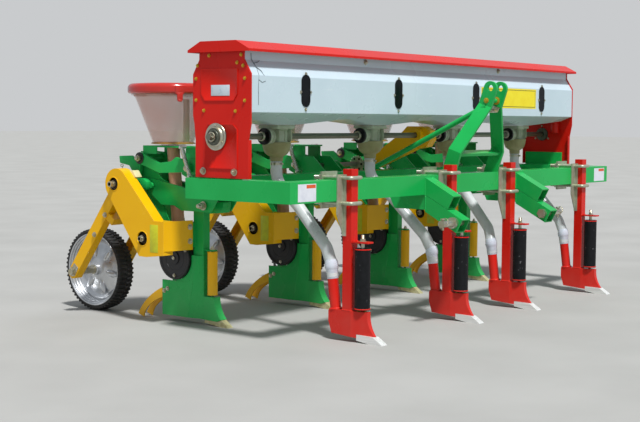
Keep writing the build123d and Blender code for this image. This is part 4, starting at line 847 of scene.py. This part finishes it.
# Printed vinyl: sharp yellow-green, faded in spots 20 mm wide.
sticker_vinyl = surface("yellow_green_vinyl", ("#D3D51F", "#C4C01A"), 20, (0.34, 0.46))
sprocket_hub = [(0, 11), (0, 19), (5, 19), (7, 17), (7, 11), (0, 11)]
hole_rims = bmesh.new()
insides = bmesh.new()
case_bolts = bmesh.new()
case_stickers = bmesh.new()
for x in row_x:
    # Each hole's place, its radius, how far out its shaft ends, and the radius of that end's thread.
    for y, z, r, shaft_out, crest in ((955, 537, 25, 190, 11.3), (795, 334, 27, 184, 9.3)):
        rolled_edge = [(-3, r - 0.2), (0, r - 0.4), (1.6, r + 0.8), (1.4, r + 2.6), (0, r + 3.4)]
        ridges = [(1.4 * i, crest if i % 2 else 9.0) for i in range(1, 9)]
        turned(hole_rims, (x - 168, y, z), (-1, 0, 0), rolled_edge, 48)
        # A nearly black disc behind each hole, with a hub on it, stands for the case's dark inside: painted
        # shade.
        rod(insides, (x - 156, y, z), (x - 146, y, z), r + 8, 36, 1.0)
        turned(insides, (x - 156, y, z), (-1, 0, 0), sprocket_hub, 28)
        turned(case_bolts, (x - shaft_out, y, z), (1, 0, 0), [(0, 0), (0, 7)] + ridges + [(14, 8)], 20)
        bolt(case_bolts, (x - 166, y, z), (-1, 0, 0), 13, 7, 0)
    for z in (379, 324):
        bolt(case_bolts, (x - 47, 658.3, z), (-0.176, -0.984, 0), 8, 5, 11, 3)
    slab(case_stickers, (x - 168.7, 709, 284), (x - 167.8, 752, 390), 0.2)
fit("case_hole_rims", hole_rims, [yellow], "frame", 60)
fit("case_sprockets", insides, [grease_and_painted_shade], "frame")
fit("case_bolts", case_bolts, [zinc], "frame")
fit("case_stickers", case_stickers, [sticker_vinyl], "frame")


# Wheel arms: folded channels on both sides of each press wheel, yellow enamel, with two bolts in each.
# A strap plate and a large nut hold the axle, and plated tubes keep the wheel central.
coat_nodes(yellow, "wheel_arms")
wheel_y, wheel_r = 1226.0, 170.0
arm_face = 142
strap_outline = [(1192, 188), (1216, 206), (1240, 172), (1234, 154), (1214, 152)]
spacer_tube = [(0, 11.5), (0, 19), (3, 19), (3, 16), (66, 16), (66, 20), (69, 20), (69, 11.5), (0, 11.5)]
arm_bolts = bmesh.new()
straps = bmesh.new()
for x in row_x:
    for side in (-1, 1):
        face_x, strap_x = x + side * arm_face, x + side * (arm_face + 4)
        for y, z in ((1033, 411), (1095, 329)):
            bolt(arm_bolts, (face_x, y, z), (side, 0, 0), 7.5, 5, 10.5, 3)
        sheet_cut(straps, [(face_x, y, z) for y, z in strap_outline], (side * 4, 0, 0), 1.0)
        bolt(arm_bolts, (strap_x, wheel_y, wheel_r), (side, 0, 0), 15, 9, 19)
        bolt(arm_bolts, (strap_x, 1205, 190), (side, 0, 0), 5, 3, 0)
        turned(arm_bolts, (x + side * 35, wheel_y, wheel_r), (side, 0, 0), spacer_tube, 32)
fit("arm_bolts", arm_bolts, [zinc], "frame")
fit("arm_straps", straps, [zinc], "frame")


# Press wheels: pressed rims, bright plated, with grooves on the edge and a six-pointed star in the
# disc, on a turned hub. The tyres are solid rubber with two rows of staggered lugs.
# Bright plating: a clear shine that clouds a little in patches 45 mm wide.
bright_rim = surface("bright_plated_rim", ("#D5D7D9", "#BFC1C4"), 45, (0.26, 0.42), grain=4, depth=0.12,
                     Metallic=0.82)
# Moulded rubber, dull, with dust in its grain in patches 40 mm wide.
tyre_rubber = surface("tyre_rubber", ("#18181A", "#2C2A28"), 40, (0.6, 0.78), grain=3, depth=0.5)
half_rim = [
    (-35.5, 149.4), (-37.4, 148.5), (-37.4, 146), (-35.5, 144), (-32, 143), (-29, 143), (-28, 140),
    (-26, 138.5), (-20, 138.5), (-18.5, 135.5), (-16, 134), (-10, 134), (-8.5, 130), (-5, 128), (0, 127.5),
]
rim_shell = half_rim + [(-t, r) for t, r in reversed(half_rim)]
rim_back = [(t * 0.94, r + 2.2) for t, r in reversed(rim_shell)]
disc = [
    (0, 128), (-2, 124), (4, 117), (8, 108), (7, 98), (2, 88), (-2, 72), (-5, 56), (-11, 46), (-15, 38),
    (-15, 23), (-12, 23), (-12, 37), (-8, 45), (-2, 55), (1, 72), (5, 88), (10, 98), (11, 108), (7, 117),
    (2, 124), (3, 128), (0, 128),
]
hub = [(-34, 12), (-34, 22), (-32, 24), (32, 24), (34, 22), (34, 12), (-34, 12)]
carcass = [
    (-35.4, 149.6), (-37.2, 151), (-37.8, 154), (-37.4, 158), (-34, 162.3), (-28, 164), (28, 164),
    (34, 162.3), (37.4, 158), (37.8, 154), (37.2, 151), (35.4, 149.6), (-35.4, 149.6),
]
star_points, star_r = 6, 74
lugs, lug_size = 56, (0.034, 0.0098, 0.0125)
for number, x in enumerate(row_x, 1):
    middle = (x, wheel_y, wheel_r)
    rim = bmesh.new()
    for profile, steps in ((rim_shell + rim_back + [rim_shell[0]], 80), (disc, 80), (hub, 40)):
        turned(rim, middle, (1, 0, 0), profile, steps)
    for i in range(star_points):
        bend = i * math.tau / star_points + 0.2
        place = spot(x - 1.0, wheel_y + star_r * math.cos(bend), wheel_r + star_r * math.sin(bend))
        bmesh.ops.create_uvsphere(rim, u_segments=20, v_segments=12, radius=1.0,
                                  matrix=Matrix.Translation(place) @ Matrix.Rotation(bend, 4, "X")
                                  @ Matrix.Diagonal((0.0105, 0.034, 0.014, 1.0)))
    rim_piece = fit(f"press_rim_{number}", rim, [bright_rim], f"wheel_{number}", 28)
    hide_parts(f"rim_{number}")

    tyre = bmesh.new()
    turned(tyre, middle, (1, 0, 0), carcass, 112)
    for side in (-1, 1):
        for i in range(lugs):
            bend = (i + (side + 1) / 4) * math.tau / lugs
            lug = bmesh.ops.create_cube(tyre, size=1.0)["verts"]
            bmesh.ops.scale(tyre, vec=lug_size, verts=lug)
            for v in lug:
                # The lug is narrower at its top and lower at the shoulder, and leans back a little.
                if v.co.z > 0:
                    v.co.y *= 0.76
                if v.co.x * side > 0:
                    v.co.z -= 0.0046 if v.co.z > 0 else 0.005
                    v.co.x *= 1.02 if v.co.z > 0 else 1.08
                v.co.y += side * v.co.x * 0.12
            bmesh.ops.translate(tyre, vec=(side * 0.0203, 0, 0.1637), verts=lug)
            bmesh.ops.rotate(tyre, cent=(0, 0, 0), matrix=Matrix.Rotation(bend, 3, "X"), verts=lug)
            bmesh.ops.translate(tyre, vec=spot(*middle), verts=lug)
            edges = {e for v in lug for e in v.link_edges}
            bmesh.ops.bevel(tyre, geom=list(edges), offset=0.0011, segments=1, profile=0.5, affect="EDGES",
                            material=-1)
    tyre_piece = fit(f"press_tyre_{number}", tyre, [tyre_rubber], f"wheel_{number}", 40)
    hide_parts(f"tyre_{number}")


# Seed drive: a shaft across the units behind the rear beam carries a plated sprocket, and its chain
# climbs inside a yellow sheet cover to the feed shaft. Two green brackets hold it to the beam.
coat_nodes(yellow, "drive_case")
drive_y, drive_z, sprocket_x = 600, 600, -22
bracket_outline = [(494, 570), (494, 520), (560, 556), (618, 584), (622, 600), (612, 618), (588, 618),
                   (560, 596)]
sleeve_ring = [(-9, 10), (-9, 19), (9, 19), (9, 10), (-9, 10)]
sprocket_disc = [(-2.2, 10), (-2.2, 34), (2.2, 34), (2.2, 10), (-2.2, 10)]
sprocket_boss = [(-12, 10), (-12, 18), (-2, 18), (-2, 10), (-12, 10)]
teeth = 18
shaft = bmesh.new()
rod(shaft, (-330, drive_y, drive_z), (83, drive_y, drive_z), 10, 6)
fit("cross_shaft", shaft, [drawn_steel], "frame")
brackets = bmesh.new()
for x in (-180, 40):
    sheet_cut(brackets, [(x, y, z) for y, z in bracket_outline], (6, 0, 0))
    turned(brackets, (x + 3, drive_y, drive_z), (1, 0, 0), sleeve_ring, 28)
fit("cross_shaft_brackets", brackets, [green], "frame")
sprocket = bmesh.new()
turned(sprocket, (sprocket_x, drive_y, drive_z), (1, 0, 0), sprocket_disc, 36)
turned(sprocket, (sprocket_x, drive_y, drive_z), (1, 0, 0), sprocket_boss, 28)
# The sprocket's holes are nearly black plugs: painted shade in the holes.
holes = bmesh.new()
for i in range(teeth):
    across, up = math.cos(i * math.tau / teeth), math.sin(i * math.tau / teeth)
    rod(sprocket, (sprocket_x, drive_y + 32 * across, drive_z + 32 * up),
        (sprocket_x, drive_y + 39 * across, drive_z + 39 * up), 3.6, 6, end_r=1.6)
    if i % 3 == 0:
        y, z = drive_y + 25 * across, drive_z + 25 * up
        rod(holes, (sprocket_x - 2.6, y, z), (sprocket_x + 2.6, y, z), 5, 16)
fit("cross_sprocket", sprocket, [zinc], "frame")
fit("sprocket_holes", holes, [grease_and_painted_shade], "frame")
